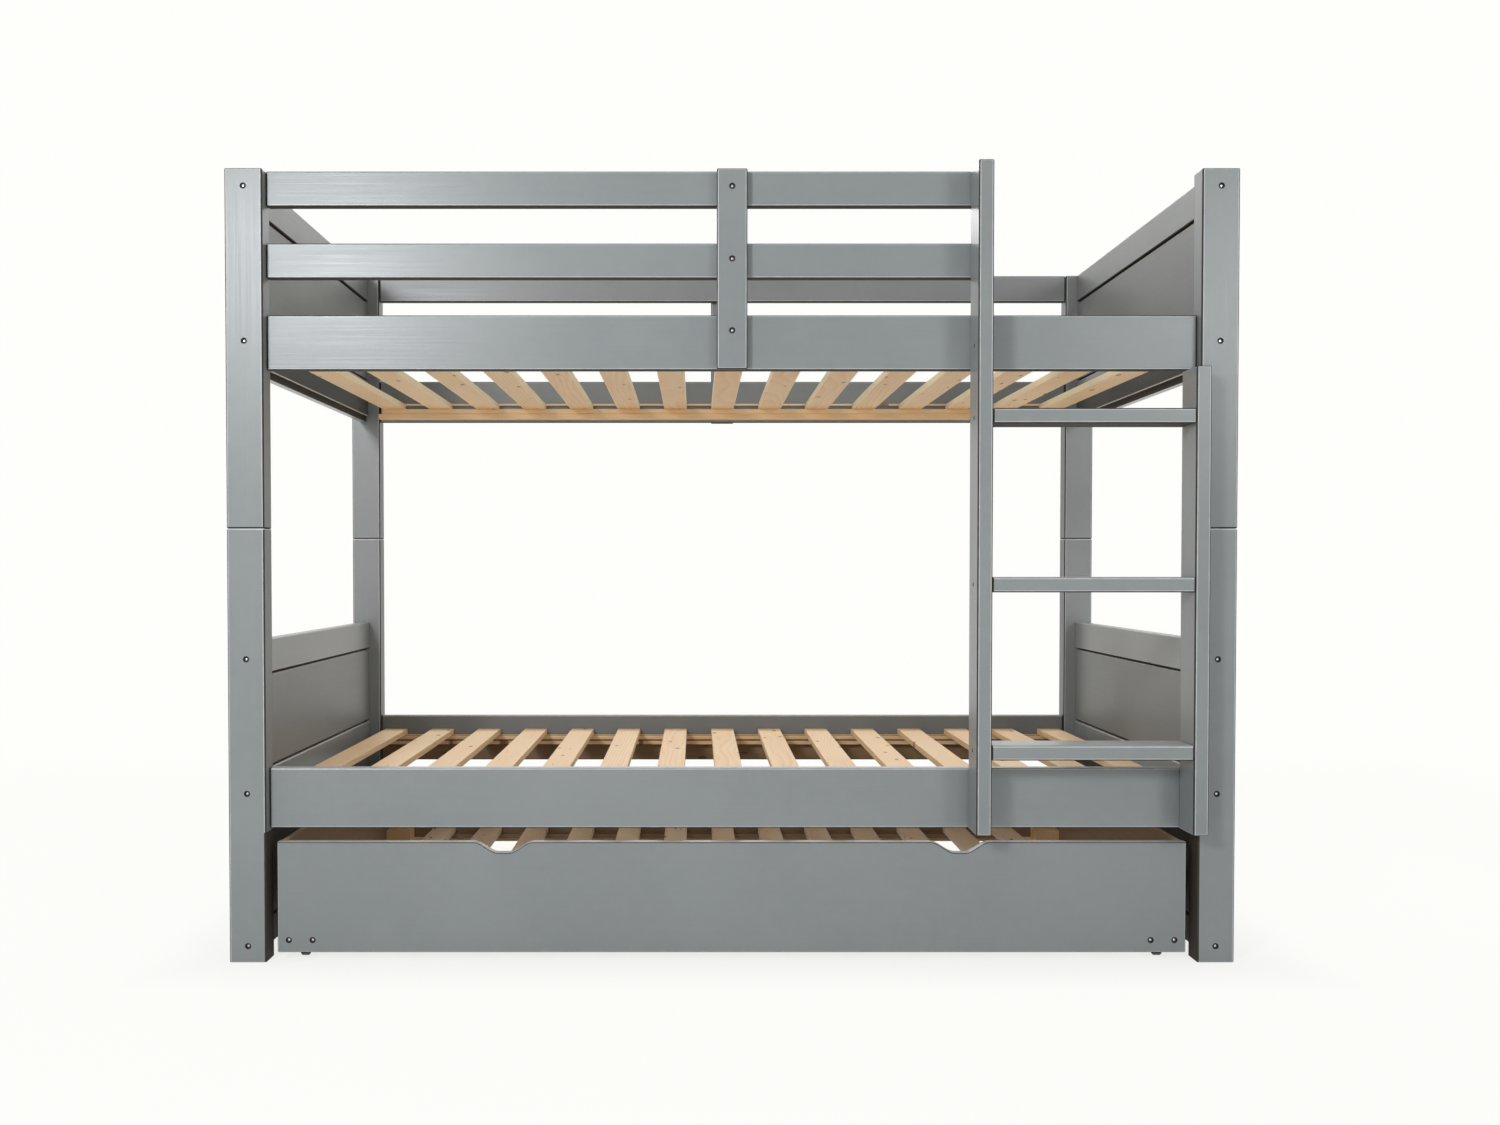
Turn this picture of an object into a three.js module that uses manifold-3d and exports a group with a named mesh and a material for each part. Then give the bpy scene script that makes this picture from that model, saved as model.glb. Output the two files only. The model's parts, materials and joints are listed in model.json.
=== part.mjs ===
import * as THREE from 'three';
import { mergeVertices } from 'three/addons/utils/BufferGeometryUtils.js';
import Module from 'manifold-3d';

// Bunk bed with a roll-out trundle, for 991 x 1905 mm mattresses.
// Millimetres. X runs along the bed, -Y is the front with the ladder, +Z is up.
// The origin is on the floor, under the centre of the whole outline.

// The posts.
const frameLength = 2019;
const frameDepth = 1090;
const frameHeight = 1587;
const postWidth = 75;
const postDepth = 52;
const postEdge = 4;
const postEndEdge = 2.5;
const postJointHeight = 872;
const dowelRadius = 8;
const dowelRise = 38;
const dowelRoot = 12;
const dowelClearance = 0.3;

// Clearance between pieces that touch, and the overrun of every cut.
const seat = 0.3;
const overrun = 2;

// The side rails, guard rails and what ties them together.
const railRecess = 24;
const railThickness = 24;
const railEdge = 3.5;
const railEndEdge = 2;
const lowerRailBottom = 267;
const lowerRailHeight = 122;
const upperRailHeight = 110;
const guardHeight = 70;
const guardGap = 73.5;
const supportWidth = 61;
const supportThickness = 22;
const supportBoltRise = 21;

// The bed ends: rails with a flat panel between them, set in by a tongue.
const endInset = 30;
const endThickness = 24;
const endEdge = 2;
const endRailHeight = 70;
const lowerEndTop = 645;
const middleRailBottom = 305;
const bottomRailGap = 5;
const bottomRailHeight = 56;
const panelThickness = 20;
const panelReveal = 5;
const tongueThickness = 8;
const tongueDepth = 9;

// Bolt recesses in the faces of the posts, supports and trundle front.
const recessRadius = 5.8;
const recessDepth = 5;

// The slats, the battens that they are nailed on, and the ledgers under them.
const ledgerHeight = 14;
const ledgerDepth = 24;
const ledgerEndGap = 2;
const upperLedgerRise = 6;
const lowerLedgerRise = 43;
const battenHeight = 13;
const battenDepth = 20;
const battenHousing = 1;
const slatCount = 15;
const slatWidth = 61;
const slatThickness = 15;
const slatEndMargin = 41.5;
const slatRailGap = 2;

// The ladder.
const ladderProud = 62;
const ladderWidth = 456;
const stileThickness = 30;
const stileEdge = 4;
const rungHeight = 30;
const rungInset = 2;
const rungCount = 3;
const firstRungTop = 445;
const lastRungDrop = 85;
const rightStileDrop = 3;
const guardEndInset = 2;

// The trundle.
const trundleRecess = 16;
const trundleSideGap = 17;
const trundleFloorGap = 16;
const trundleFrontHeight = 224.5;
const trundleFrontThickness = 20;
const trundleFrontEdge = 2;
const trundleDepth = 1014;
const backBoardThickness = 18;
const sideBoardThickness = 15;
const boardDrop = 2.5;
const boardEdge = 1.5;
const trundleDeckHeight = 88;
const trundleSlatCount = 13;
const trundleSlatWidth = 59;
const trundleSlatMargin = 117.5;
const cutOutSpacing = 922;
const cutOutWidth = 113;
const cutOutFloorWidth = 47;
const cutOutDepth = 23;
const trundleBoltHeight = 41;
const trundleBoltSpread = 48;

// The casters.
const wheelRadius = 20;
const wheelWidth = 15;
const wheelChamfer = 1.5;
const wheelBackGap = 1.5;
const wheelSideGap = 1;
const wheelRoofGap = 4;
const axleRadius = 3;
const axleClearance = 0.1;
const casterBlockWidth = 63;
const casterBlockLength = 58;
const casterBlockFloorGap = 12;

// How finely round stretches are divided.
const cornerSteps = 2;
const roundSteps = 20;
const wheelSteps = 32;
const curveSteps = 7;

// Shared places, worked out from the sizes above.
const halfLength = frameLength / 2;
const postInnerX = halfLength - postWidth;
const frontY = (ladderProud - frameDepth) / 2;
const backY = frontY + frameDepth;
const upperRailTop = frameHeight - 2 * guardHeight - 2 * guardGap;
const upperRailBottom = upperRailTop - upperRailHeight;
const topGuardBottom = frameHeight - guardHeight;
const middleGuardBottom = upperRailTop + guardGap;
const lowerRailTop = lowerRailBottom + lowerRailHeight;
const endInnerX = postInnerX + endInset;
const ledgerInset = railRecess + railThickness + seat;
const deckRise = ledgerHeight + seat;
const lowerDeckBottom = lowerRailBottom + lowerLedgerRise + deckRise;
const upperDeckBottom = upperRailBottom + upperLedgerRise + deckRise;

const finishes = {
  paint: new THREE.MeshStandardMaterial({ color: 0x8c9192, roughness: 0.45, metalness: 0 }),
  pine: new THREE.MeshStandardMaterial({ color: 0xd9b589, roughness: 0.6, metalness: 0 }),
  caster: new THREE.MeshStandardMaterial({ color: 0x2b2b2c, roughness: 0.55, metalness: 0 }),
};

const wasm = await Module();
wasm.setup();

const bed = new THREE.Group();

// The two long sides and the two ends, each with the place that lies a given
// distance in from the outer faces of the posts.
const sides = [
  { name: 'front', inward: 1, at: (inset) => frontY + inset },
  { name: 'back', inward: -1, at: (inset) => backY - inset },
];
const ends = [
  { name: 'left', inward: 1, at: (inset) => -halfLength + inset },
  { name: 'right', inward: -1, at: (inset) => halfLength - inset },
];

// A stretch along one axis, given by its two limits in either order.
function span(from, to) {
  return { centre: (from + to) / 2, size: Math.abs(to - from) };
}

// The directions that an extrusion's outline and length take, by its long axis.
const bases = {
  x: [new THREE.Vector3(0, 1, 0), new THREE.Vector3(0, 0, 1), new THREE.Vector3(1, 0, 0)],
  y: [new THREE.Vector3(0, 0, 1), new THREE.Vector3(1, 0, 0), new THREE.Vector3(0, 1, 0)],
  z: [new THREE.Vector3(1, 0, 0), new THREE.Vector3(0, 1, 0), new THREE.Vector3(0, 0, 1)],
};

function roundedOutline(width, height, radius) {
  const x = width / 2;
  const y = height / 2;
  const quarter = Math.PI / 2;
  const outline = new THREE.Shape();
  outline.moveTo(x, -y + radius);
  outline.lineTo(x, y - radius);
  outline.absarc(x - radius, y - radius, radius, 0, quarter);
  outline.lineTo(-x + radius, y);
  outline.absarc(-x + radius, y - radius, radius, quarter, 2 * quarter);
  outline.lineTo(-x, -y + radius);
  outline.absarc(-x + radius, -y + radius, radius, 2 * quarter, 3 * quarter);
  outline.lineTo(x - radius, -y);
  outline.absarc(x - radius, -y + radius, radius, 3 * quarter, 4 * quarter);
  return outline;
}

// An outline pulled along an axis and centred on it, with its end edges eased.
function extrusion(outline, along, length, endEdge, steps = cornerSteps) {
  const geometry = new THREE.ExtrudeGeometry(outline, {
    depth: length - 2 * endEdge,
    steps: 1,
    curveSegments: steps,
    bevelEnabled: endEdge > 0,
    bevelThickness: endEdge,
    bevelSize: endEdge,
    bevelOffset: -endEdge,
    bevelSegments: 1,
  });
  geometry.translate(0, 0, endEdge - length / 2);
  geometry.applyMatrix4(new THREE.Matrix4().makeBasis(...bases[along]));
  return geometry;
}

// A straight board or bar that fills the three stretches, long edges rounded.
function board(along, x, y, z, edge, endEdge) {
  const sizes = { x: [y.size, z.size, x.size], y: [z.size, x.size, y.size], z: [x.size, y.size, z.size] };
  const [width, height, length] = sizes[along];
  return extrusion(roundedOutline(width, height, edge), along, length, endEdge);
}

function block(x, y, z) {
  return new THREE.BoxGeometry(x.size, y.size, z.size);
}

// A round pin or drill along an axis, centred on its own length.
function cylinder(radius, length, along) {
  const geometry = new THREE.CylinderGeometry(radius, radius, length, roundSteps);
  if (along === 'x') geometry.rotateZ(Math.PI / 2);
  if (along === 'z') geometry.rotateX(Math.PI / 2);
  return geometry;
}

function solid(geometry, x = 0, y = 0, z = 0) {
  const bare = geometry.clone();
  bare.deleteAttribute('normal');
  bare.deleteAttribute('uv');
  bare.translate(x, y, z);
  const merged = mergeVertices(bare);
  return new wasm.Manifold(new wasm.Mesh({
    numProp: 3,
    vertProperties: new Float32Array(merged.attributes.position.array),
    triVerts: new Uint32Array(merged.index.array),
  }));
}

function geometryOf(body) {
  const mesh = body.getMesh();
  const geometry = new THREE.BufferGeometry();
  geometry.setAttribute('position', new THREE.BufferAttribute(new Float32Array(mesh.vertProperties), 3));
  geometry.setIndex(new THREE.BufferAttribute(new Uint32Array(mesh.triVerts), 1));
  return geometry;
}

function add(name, geometry, finish, x, y, z) {
  const piece = new THREE.Mesh(geometry, finishes[finish]);
  piece.name = name;
  piece.position.set(x, y, z);
  bed.add(piece);
}

function addBoard(name, finish, along, x, y, z, edge, endEdge) {
  add(name, board(along, x, y, z, edge, endEdge), finish, x.centre, y.centre, z.centre);
}

// A bolt recess in a face that looks along Y; the face lies at y, the wood at y + inward.
function recess(x, y, z, inward) {
  const length = recessDepth + overrun;
  return solid(cylinder(recessRadius, length, 'y'), x, y + inward * (recessDepth - length / 2), z);
}

// The bolts run through the posts into the rails of the bed ends.
const lowerBoltHeights = [
  bottomRailGap + bottomRailHeight / 2,
  middleRailBottom + endRailHeight / 2,
  lowerEndTop - endRailHeight / 2,
];
const upperBoltHeights = [
  upperRailBottom + upperRailHeight / 2,
  frameHeight - endRailHeight / 2,
];

function addPost(name, end, side, z, boltHeights, dowel) {
  const x = span(end.at(0), end.at(postWidth));
  const y = span(side.at(0), side.at(postDepth));
  let post = solid(board('z', x, y, z, postEdge, postEndEdge));
  for (const height of boltHeights) {
    post = post.subtract(recess(0, side.at(0) - y.centre, height - z.centre, side.inward));
  }
  add(name, geometryOf(dowel(post, z)), 'paint', x.centre, y.centre, z.centre);
}

// The lower post carries a glued dowel, and the upper post is bored to drop over it.
function withDowel(post, z) {
  const pin = cylinder(dowelRadius, dowelRoot + dowelRise, 'z');
  return post.add(solid(pin, 0, 0, z.size / 2 + (dowelRise - dowelRoot) / 2));
}

function withDowelHole(post, z) {
  const depth = dowelRise + dowelClearance + seat;
  const drill = cylinder(dowelRadius + dowelClearance, depth + overrun, 'z');
  return post.subtract(solid(drill, 0, 0, (depth - overrun - z.size) / 2));
}

function addPosts() {
  const lower = span(0, postJointHeight - seat / 2);
  const upper = span(postJointHeight + seat / 2, frameHeight);
  for (const side of sides) {
    for (const end of ends) {
      addPost(`${side.name}_${end.name}_lower_post`, end, side, lower, lowerBoltHeights, withDowel);
      addPost(`${side.name}_${end.name}_upper_post`, end, side, upper, upperBoltHeights, withDowelHole);
    }
  }
}

// The section of a bed end rail, centred: eased corners, and a groove for a
// panel's tongue in its top, its underside or both.
function endRailOutline(height, grooves) {
  const x = endThickness / 2;
  const z = height / 2;
  const grooveX = tongueThickness / 2 + seat;
  const grooveZ = z - tongueDepth - seat;
  const outline = new THREE.Shape();
  outline.moveTo(x, -z + endEdge);
  outline.lineTo(x, z - endEdge);
  outline.lineTo(x - endEdge, z);
  if (grooves.above) {
    outline.lineTo(grooveX, z);
    outline.lineTo(grooveX, grooveZ);
    outline.lineTo(-grooveX, grooveZ);
    outline.lineTo(-grooveX, z);
  }
  outline.lineTo(-x + endEdge, z);
  outline.lineTo(-x, z - endEdge);
  outline.lineTo(-x, -z + endEdge);
  outline.lineTo(-x + endEdge, -z);
  if (grooves.below) {
    outline.lineTo(-grooveX, -z);
    outline.lineTo(-grooveX, -grooveZ);
    outline.lineTo(grooveX, -grooveZ);
    outline.lineTo(grooveX, -z);
  }
  outline.lineTo(x - endEdge, -z);
  return outline;
}

// The section of a panel, centred: the board, with a thinner tongue above and below.
function panelOutline(height) {
  const x = panelThickness / 2;
  const z = height / 2;
  const tongueX = tongueThickness / 2;
  const tongueZ = z + panelReveal + tongueDepth;
  const outline = new THREE.Shape();
  outline.moveTo(x, -z);
  outline.lineTo(x, z);
  outline.lineTo(tongueX, z);
  outline.lineTo(tongueX, tongueZ);
  outline.lineTo(-tongueX, tongueZ);
  outline.lineTo(-tongueX, z);
  outline.lineTo(-x, z);
  outline.lineTo(-x, -z);
  outline.lineTo(-tongueX, -z);
  outline.lineTo(-tongueX, -tongueZ);
  outline.lineTo(tongueX, -tongueZ);
  outline.lineTo(tongueX, -z);
  return outline;
}

// The section lies in X and Z and is pulled along Y, from post to post.
function addEndPiece(name, end, outline, z) {
  const x = end.at(postWidth - endInset - endThickness / 2);
  const y = span(frontY + postDepth + seat, backY - postDepth - seat);
  const geometry = new THREE.ExtrudeGeometry(outline, { depth: y.size, steps: 1, bevelEnabled: false });
  geometry.translate(0, 0, -y.size / 2);
  geometry.rotateX(Math.PI / 2);
  add(name, geometry, 'paint', x, y.centre, z.centre);
}

function addEndRail(name, end, z, grooves) {
  addEndPiece(name, end, endRailOutline(z.size, grooves), z);
}

function addEndPanel(name, end, bottom, top) {
  const z = span(bottom + panelReveal, top - panelReveal);
  addEndPiece(name, end, panelOutline(z.size), z);
}

function addEnds() {
  const above = { above: true };
  const below = { below: true };
  const both = { above: true, below: true };
  const bottomRailTop = bottomRailGap + bottomRailHeight;
  const middleRailTop = middleRailBottom + endRailHeight;
  const lowerTopRailBottom = lowerEndTop - endRailHeight;
  const upperTopRailBottom = frameHeight - endRailHeight;
  for (const end of ends) {
    const lower = `${end.name}_lower_end`;
    const upper = `${end.name}_upper_end`;
    addEndRail(`${lower}_bottom_rail`, end, span(bottomRailGap, bottomRailTop), above);
    addEndPanel(`${lower}_base_panel`, end, bottomRailTop, middleRailBottom);
    addEndRail(`${lower}_middle_rail`, end, span(middleRailBottom, middleRailTop), both);
    addEndPanel(`${lower}_panel`, end, middleRailTop, lowerTopRailBottom);
    addEndRail(`${lower}_top_rail`, end, span(lowerTopRailBottom, lowerEndTop), below);
    addEndRail(`${upper}_bottom_rail`, end, span(upperRailBottom, upperRailTop), above);
    addEndPanel(`${upper}_panel`, end, upperRailTop, upperTopRailBottom);
    addEndRail(`${upper}_top_rail`, end, span(upperTopRailBottom, frameHeight), below);
  }
}

// The ladder's left stile also ends the front guard rails.
const ladderRightX = postInnerX - seat;
const ladderLeftX = ladderRightX - ladderWidth;

function addRails() {
  const full = span(-postInnerX + seat, postInnerX - seat);
  const short = span(-postInnerX + seat, ladderLeftX + stileThickness - guardEndInset);
  for (const side of sides) {
    const y = span(side.at(railRecess), side.at(railRecess + railThickness));
    const guard = side.name === 'front' ? short : full;
    const rows = [
      ['lower_side_rail', full, span(lowerRailBottom, lowerRailTop)],
      ['upper_side_rail', full, span(upperRailBottom, upperRailTop)],
      ['middle_guard_rail', guard, span(middleGuardBottom, middleGuardBottom + guardHeight)],
      ['top_guard_rail', guard, span(topGuardBottom, frameHeight)],
    ];
    for (const [name, x, z] of rows) {
      addBoard(`${side.name}_${name}`, 'paint', 'x', x, y, z, railEdge, railEndEdge);
    }
  }
}

function addSupports() {
  const x = span(-supportWidth / 2, supportWidth / 2);
  const z = span(upperRailBottom, frameHeight);
  const boltHeights = [
    upperRailBottom + upperRailHeight / 2 + supportBoltRise,
    middleGuardBottom + guardHeight / 2,
    topGuardBottom + guardHeight / 2,
  ];
  for (const side of sides) {
    const outer = side.at(railRecess - seat - supportThickness);
    const y = span(outer, side.at(railRecess - seat));
    let support = solid(board('z', x, y, z, railEdge, railEndEdge));
    for (const height of boltHeights) {
      support = support.subtract(recess(0, outer - y.centre, height - z.centre, side.inward));
    }
    add(`${side.name}_centre_support`, geometryOf(support), 'paint', x.centre, y.centre, z.centre);
  }
}

function addLedgers() {
  const x = span(-postInnerX + ledgerEndGap, postInnerX - ledgerEndGap);
  for (const side of sides) {
    const y = span(side.at(ledgerInset), side.at(ledgerInset + ledgerDepth));
    const lower = span(lowerDeckBottom - deckRise, lowerDeckBottom - seat);
    const upper = span(upperDeckBottom - deckRise, upperDeckBottom - seat);
    addBoard(`${side.name}_lower_ledger`, 'pine', 'x', x, y, lower, boardEdge, 0);
    addBoard(`${side.name}_upper_ledger`, 'pine', 'x', x, y, upper, boardEdge, 0);
  }
}

// Slats across the bed, nailed on two battens that are housed into them.
function addDeck(name, bottom, x, y, count, width, margin) {
  const batten = span(0, battenHeight + battenHousing);
  const slat = span(battenHeight, battenHeight + slatThickness);
  const height = battenHeight + slatThickness;
  const slatX = span(0, width);
  const first = margin + width / 2 - x.size / 2;
  const pitch = (x.size - 2 * margin - width) / (count - 1);
  const battenX = span(first - width / 2 - boardEdge, -first + width / 2 + boardEdge);
  const frontBattenY = span(-y.size / 2, -y.size / 2 + battenDepth);
  const backBattenY = span(y.size / 2 - battenDepth, y.size / 2);
  let deck = solid(block(battenX, frontBattenY, batten), 0, frontBattenY.centre, batten.centre);
  deck = deck.add(solid(block(battenX, backBattenY, batten), 0, backBattenY.centre, batten.centre));
  for (let i = 0; i < count; i += 1) {
    deck = deck.add(solid(block(slatX, y, slat), first + i * pitch, 0, slat.centre));
  }
  add(name, geometryOf(deck.translate(0, 0, -height / 2)), 'pine', x.centre, y.centre, bottom + height / 2);
}

function addBunkDecks() {
  const inset = railRecess + railThickness + slatRailGap;
  const x = span(-endInnerX, endInnerX);
  const y = span(frontY + inset, backY - inset);
  addDeck('lower_slat_deck', lowerDeckBottom, x, y, slatCount, slatWidth, slatEndMargin);
  addDeck('upper_slat_deck', upperDeckBottom, x, y, slatCount, slatWidth, slatEndMargin);
}

// The stiles stand in front of the rails, proud of the posts, and the trundle passes under them.
function addLadder() {
  const stileY = span(frontY - ladderProud, frontY + railRecess - seat);
  const leftX = span(ladderLeftX, ladderLeftX + stileThickness);
  const rightX = span(ladderRightX - stileThickness, ladderRightX);
  const leftZ = span(lowerRailBottom, frameHeight);
  const rightZ = span(lowerRailBottom, upperRailBottom - rightStileDrop);
  addBoard('ladder_left_stile', 'paint', 'z', leftX, stileY, leftZ, stileEdge, railEndEdge);
  addBoard('ladder_right_stile', 'paint', 'z', rightX, stileY, rightZ, stileEdge, railEndEdge);
  const rungX = span(ladderLeftX + stileThickness + seat, ladderRightX - stileThickness - seat);
  const rungY = span(frontY - ladderProud, frontY + railRecess - seat - rungInset);
  const lastRungTop = upperRailBottom - lastRungDrop;
  const rungRise = (lastRungTop - firstRungTop) / (rungCount - 1);
  for (let i = 0; i < rungCount; i += 1) {
    const top = firstRungTop + i * rungRise;
    const rungZ = span(top - rungHeight, top);
    addBoard(`ladder_rung_${i + 1}`, 'paint', 'x', rungX, rungY, rungZ, stileEdge, 0);
  }
}

// Trundle places, counted from the floor and from the front of the posts.
const trundleHalfX = postInnerX - trundleSideGap;
const trundleFrontY = frontY + trundleRecess;
const trundlePanelY = trundleFrontY + trundleFrontThickness;
const trundleBackY = trundleFrontY + trundleDepth;
const trundleBoardY = trundleBackY - backBoardThickness;
const trundleTop = trundleFloorGap + trundleFrontHeight;
const trundleDeckBottom = trundleDeckHeight - slatThickness - battenHeight;
const sideBoardInnerX = trundleHalfX - sideBoardThickness;
const casterX = sideBoardInnerX - seat - casterBlockWidth / 2;

// One finger cut-out in the panel's top edge, drawn from right to left: an
// S-curve down to a flat floor and another one up again.
function drawCutOut(outline, centre, top) {
  const edge = cutOutWidth / 2;
  const floor = cutOutFloorWidth / 2;
  const middle = (edge + floor) / 2;
  const bottom = top - cutOutDepth;
  outline.lineTo(centre + edge, top);
  outline.bezierCurveTo(centre + middle, top, centre + middle, bottom, centre + floor, bottom);
  outline.lineTo(centre - floor, bottom);
  outline.bezierCurveTo(centre - middle, bottom, centre - middle, top, centre - edge, top);
}

function addTrundleFront() {
  const z = span(trundleFloorGap, trundleTop);
  const y = span(trundleFrontY, trundlePanelY);
  const half = z.size / 2;
  const outline = new THREE.Shape();
  outline.moveTo(-trundleHalfX, -half);
  outline.lineTo(trundleHalfX, -half);
  outline.lineTo(trundleHalfX, half);
  drawCutOut(outline, cutOutSpacing / 2, half);
  drawCutOut(outline, -cutOutSpacing / 2, half);
  outline.lineTo(-trundleHalfX, half);
  const geometry = new THREE.ExtrudeGeometry(outline, {
    depth: y.size - 2 * trundleFrontEdge,
    steps: 1,
    curveSegments: curveSteps,
    bevelThickness: trundleFrontEdge,
    bevelSize: trundleFrontEdge,
    bevelOffset: -trundleFrontEdge,
    bevelSegments: 1,
  });
  geometry.translate(0, 0, trundleFrontEdge - y.size / 2);
  geometry.rotateX(Math.PI / 2);
  let panel = solid(geometry);
  for (const x of [-casterX, casterX]) {
    for (const offset of [-trundleBoltSpread / 2, trundleBoltSpread / 2]) {
      panel = panel.subtract(recess(x + offset, -y.size / 2, trundleBoltHeight - z.centre, 1));
    }
  }
  add('trundle_front_panel', geometryOf(panel), 'paint', 0, y.centre, z.centre);
}

function addTrundleBoards() {
  const z = span(trundleDeckBottom, trundleTop - boardDrop);
  const full = span(-trundleHalfX, trundleHalfX);
  const backY = span(trundleBoardY, trundleBackY);
  const sideY = span(trundlePanelY + seat, trundleBoardY - seat);
  addBoard('trundle_back_board', 'pine', 'x', full, backY, z, boardEdge, 0);
  const left = span(-trundleHalfX, -sideBoardInnerX);
  const right = span(sideBoardInnerX, trundleHalfX);
  addBoard('trundle_left_side_board', 'pine', 'y', left, sideY, z, boardEdge, 0);
  addBoard('trundle_right_side_board', 'pine', 'y', right, sideY, z, boardEdge, 0);
}

function addTrundleDeck() {
  const x = span(-sideBoardInnerX, sideBoardInnerX);
  const y = span(trundlePanelY + seat, trundleBoardY - seat);
  addDeck('trundle_slat_deck', trundleDeckBottom, x, y, trundleSlatCount, trundleSlatWidth, trundleSlatMargin);
}

// A caster block fills a corner of the trundle up to the slats. It is slotted for
// its wheel from one end, and its axle is pressed in across the slot. Centred in
// X; in Y and Z it is drawn around the axle.
function casterBlock(towards) {
  const face = -towards * (wheelRadius + wheelBackGap);
  const slotEnd = towards * (wheelRadius + wheelRoofGap);
  const x = span(-casterBlockWidth / 2, casterBlockWidth / 2);
  const y = span(face, face + towards * casterBlockLength);
  const z = span(casterBlockFloorGap - wheelRadius, trundleDeckHeight - wheelRadius);
  const slotX = span(0, wheelWidth + 2 * wheelSideGap);
  const slotY = span(face - towards * overrun, slotEnd);
  const slotZ = span(z.centre - z.size / 2 - overrun, wheelRadius + wheelRoofGap);
  const body = solid(block(x, y, z), 0, y.centre, z.centre);
  const slotted = body.subtract(solid(block(slotX, slotY, slotZ), 0, slotY.centre, slotZ.centre));
  const axle = cylinder(axleRadius, casterBlockWidth - overrun, 'x');
  return geometryOf(slotted.add(solid(axle)));
}

function casterWheel() {
  const bore = axleRadius + axleClearance;
  const half = wheelWidth / 2;
  const points = [
    new THREE.Vector2(bore, -half),
    new THREE.Vector2(wheelRadius - wheelChamfer, -half),
    new THREE.Vector2(wheelRadius, -half + wheelChamfer),
    new THREE.Vector2(wheelRadius, half - wheelChamfer),
    new THREE.Vector2(wheelRadius - wheelChamfer, half),
    new THREE.Vector2(bore, half),
    new THREE.Vector2(bore, -half),
  ];
  const geometry = new THREE.LatheGeometry(points, wheelSteps);
  geometry.rotateZ(-Math.PI / 2);
  return geometry;
}

function addCasters() {
  const rows = [
    { name: 'front', towards: 1, y: trundlePanelY + seat + wheelRadius + wheelBackGap },
    { name: 'back', towards: -1, y: trundleBoardY - seat - wheelRadius - wheelBackGap },
  ];
  for (const row of rows) {
    for (const [end, x] of [['left', -casterX], ['right', casterX]]) {
      add(`${row.name}_${end}_caster_block`, casterBlock(row.towards), 'pine', x, row.y, wheelRadius);
      add(`${row.name}_${end}_caster_wheel`, casterWheel(), 'caster', x, row.y, wheelRadius);
    }
  }
}

addPosts();
addEnds();
addRails();
addSupports();
addLedgers();
addBunkDecks();
addLadder();
addTrundleFront();
addTrundleBoards();
addTrundleDeck();
addCasters();

export default bed;
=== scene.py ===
"""Bunk bed with a roll-out trundle: grey sprayed pine frame, natural pine slats.

Metres, in the frame of the CAD: X along the bed, -Y the ladder side, Z up.
Every board takes its place from the box of the CAD node that it stands for.
"""

import functools
import itertools
import math

import bpy
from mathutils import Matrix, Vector
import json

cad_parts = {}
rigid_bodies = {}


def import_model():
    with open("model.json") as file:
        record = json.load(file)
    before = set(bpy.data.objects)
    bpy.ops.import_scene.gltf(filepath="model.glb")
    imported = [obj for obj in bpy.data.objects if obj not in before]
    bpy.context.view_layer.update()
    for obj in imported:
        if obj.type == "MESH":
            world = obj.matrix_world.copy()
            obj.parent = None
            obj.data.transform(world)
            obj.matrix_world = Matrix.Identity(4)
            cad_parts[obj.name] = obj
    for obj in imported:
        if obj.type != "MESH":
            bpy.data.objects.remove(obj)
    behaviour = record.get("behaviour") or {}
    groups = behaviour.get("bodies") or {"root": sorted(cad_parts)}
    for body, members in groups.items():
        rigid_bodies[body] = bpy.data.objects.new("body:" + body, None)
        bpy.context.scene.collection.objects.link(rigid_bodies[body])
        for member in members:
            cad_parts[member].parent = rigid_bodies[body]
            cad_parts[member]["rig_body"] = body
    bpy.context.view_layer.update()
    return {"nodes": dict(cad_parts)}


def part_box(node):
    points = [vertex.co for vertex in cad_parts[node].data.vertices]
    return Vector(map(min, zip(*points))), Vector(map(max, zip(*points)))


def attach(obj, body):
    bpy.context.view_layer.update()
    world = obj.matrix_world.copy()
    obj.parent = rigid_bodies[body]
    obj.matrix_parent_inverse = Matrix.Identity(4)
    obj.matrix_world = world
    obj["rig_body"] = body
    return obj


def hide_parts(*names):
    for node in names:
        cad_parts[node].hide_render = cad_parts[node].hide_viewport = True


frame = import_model()
scene = bpy.context.scene

MM = 0.001
NEAR = 0.01 * MM
X, Y, Z = 0, 1, 2
ENDS = {"left": -1, "right": 1}
SIDES = {"front": -1, "back": 1}
CORNERS = [(side, end) for side in SIDES for end in ENDS]


# ---- node trees

Socket = bpy.types.NodeSocket


def node(tree, kind, values=None, **settings):
    """Add one shader node; values are sockets to link or plain numbers to set."""
    made = tree.nodes.new("ShaderNode" + kind)
    for name, value in settings.items():
        setattr(made, name, value)
    for key, value in (values or {}).items():
        if isinstance(value, Socket):
            tree.links.new(value, made.inputs[key])
        else:
            made.inputs[key].default_value = value
    return made


def onward(kind, values, **settings):
    """Add a node in the tree of the sockets that it takes its values from."""
    tree = next(value for value in values.values() if isinstance(value, Socket)).id_data
    return node(tree, kind, values, **settings).outputs


def maths(operation, *values, clamp=False):
    return onward("Math", dict(enumerate(values)), operation=operation, use_clamp=clamp)[0]


times, plus, minus, largest, size_of, fraction = (
    functools.partial(maths, operation)
    for operation in ("MULTIPLY", "ADD", "SUBTRACT", "MAXIMUM", "ABSOLUTE", "FRACT"))


def weighed(first, *others):
    """The sum of several values, each given with its share."""
    total = times(*first)
    for part in others:
        total = plus(total, times(*part))
    return total


def vector(x, y, z=0.0):
    return onward("CombineXYZ", {"X": x, "Y": y, "Z": z})[0]


def axes(place):
    return onward("SeparateXYZ", {"Vector": place})


def vector_maths(operation, *values):
    return onward("VectorMath", dict(enumerate(values)), operation=operation)


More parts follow.
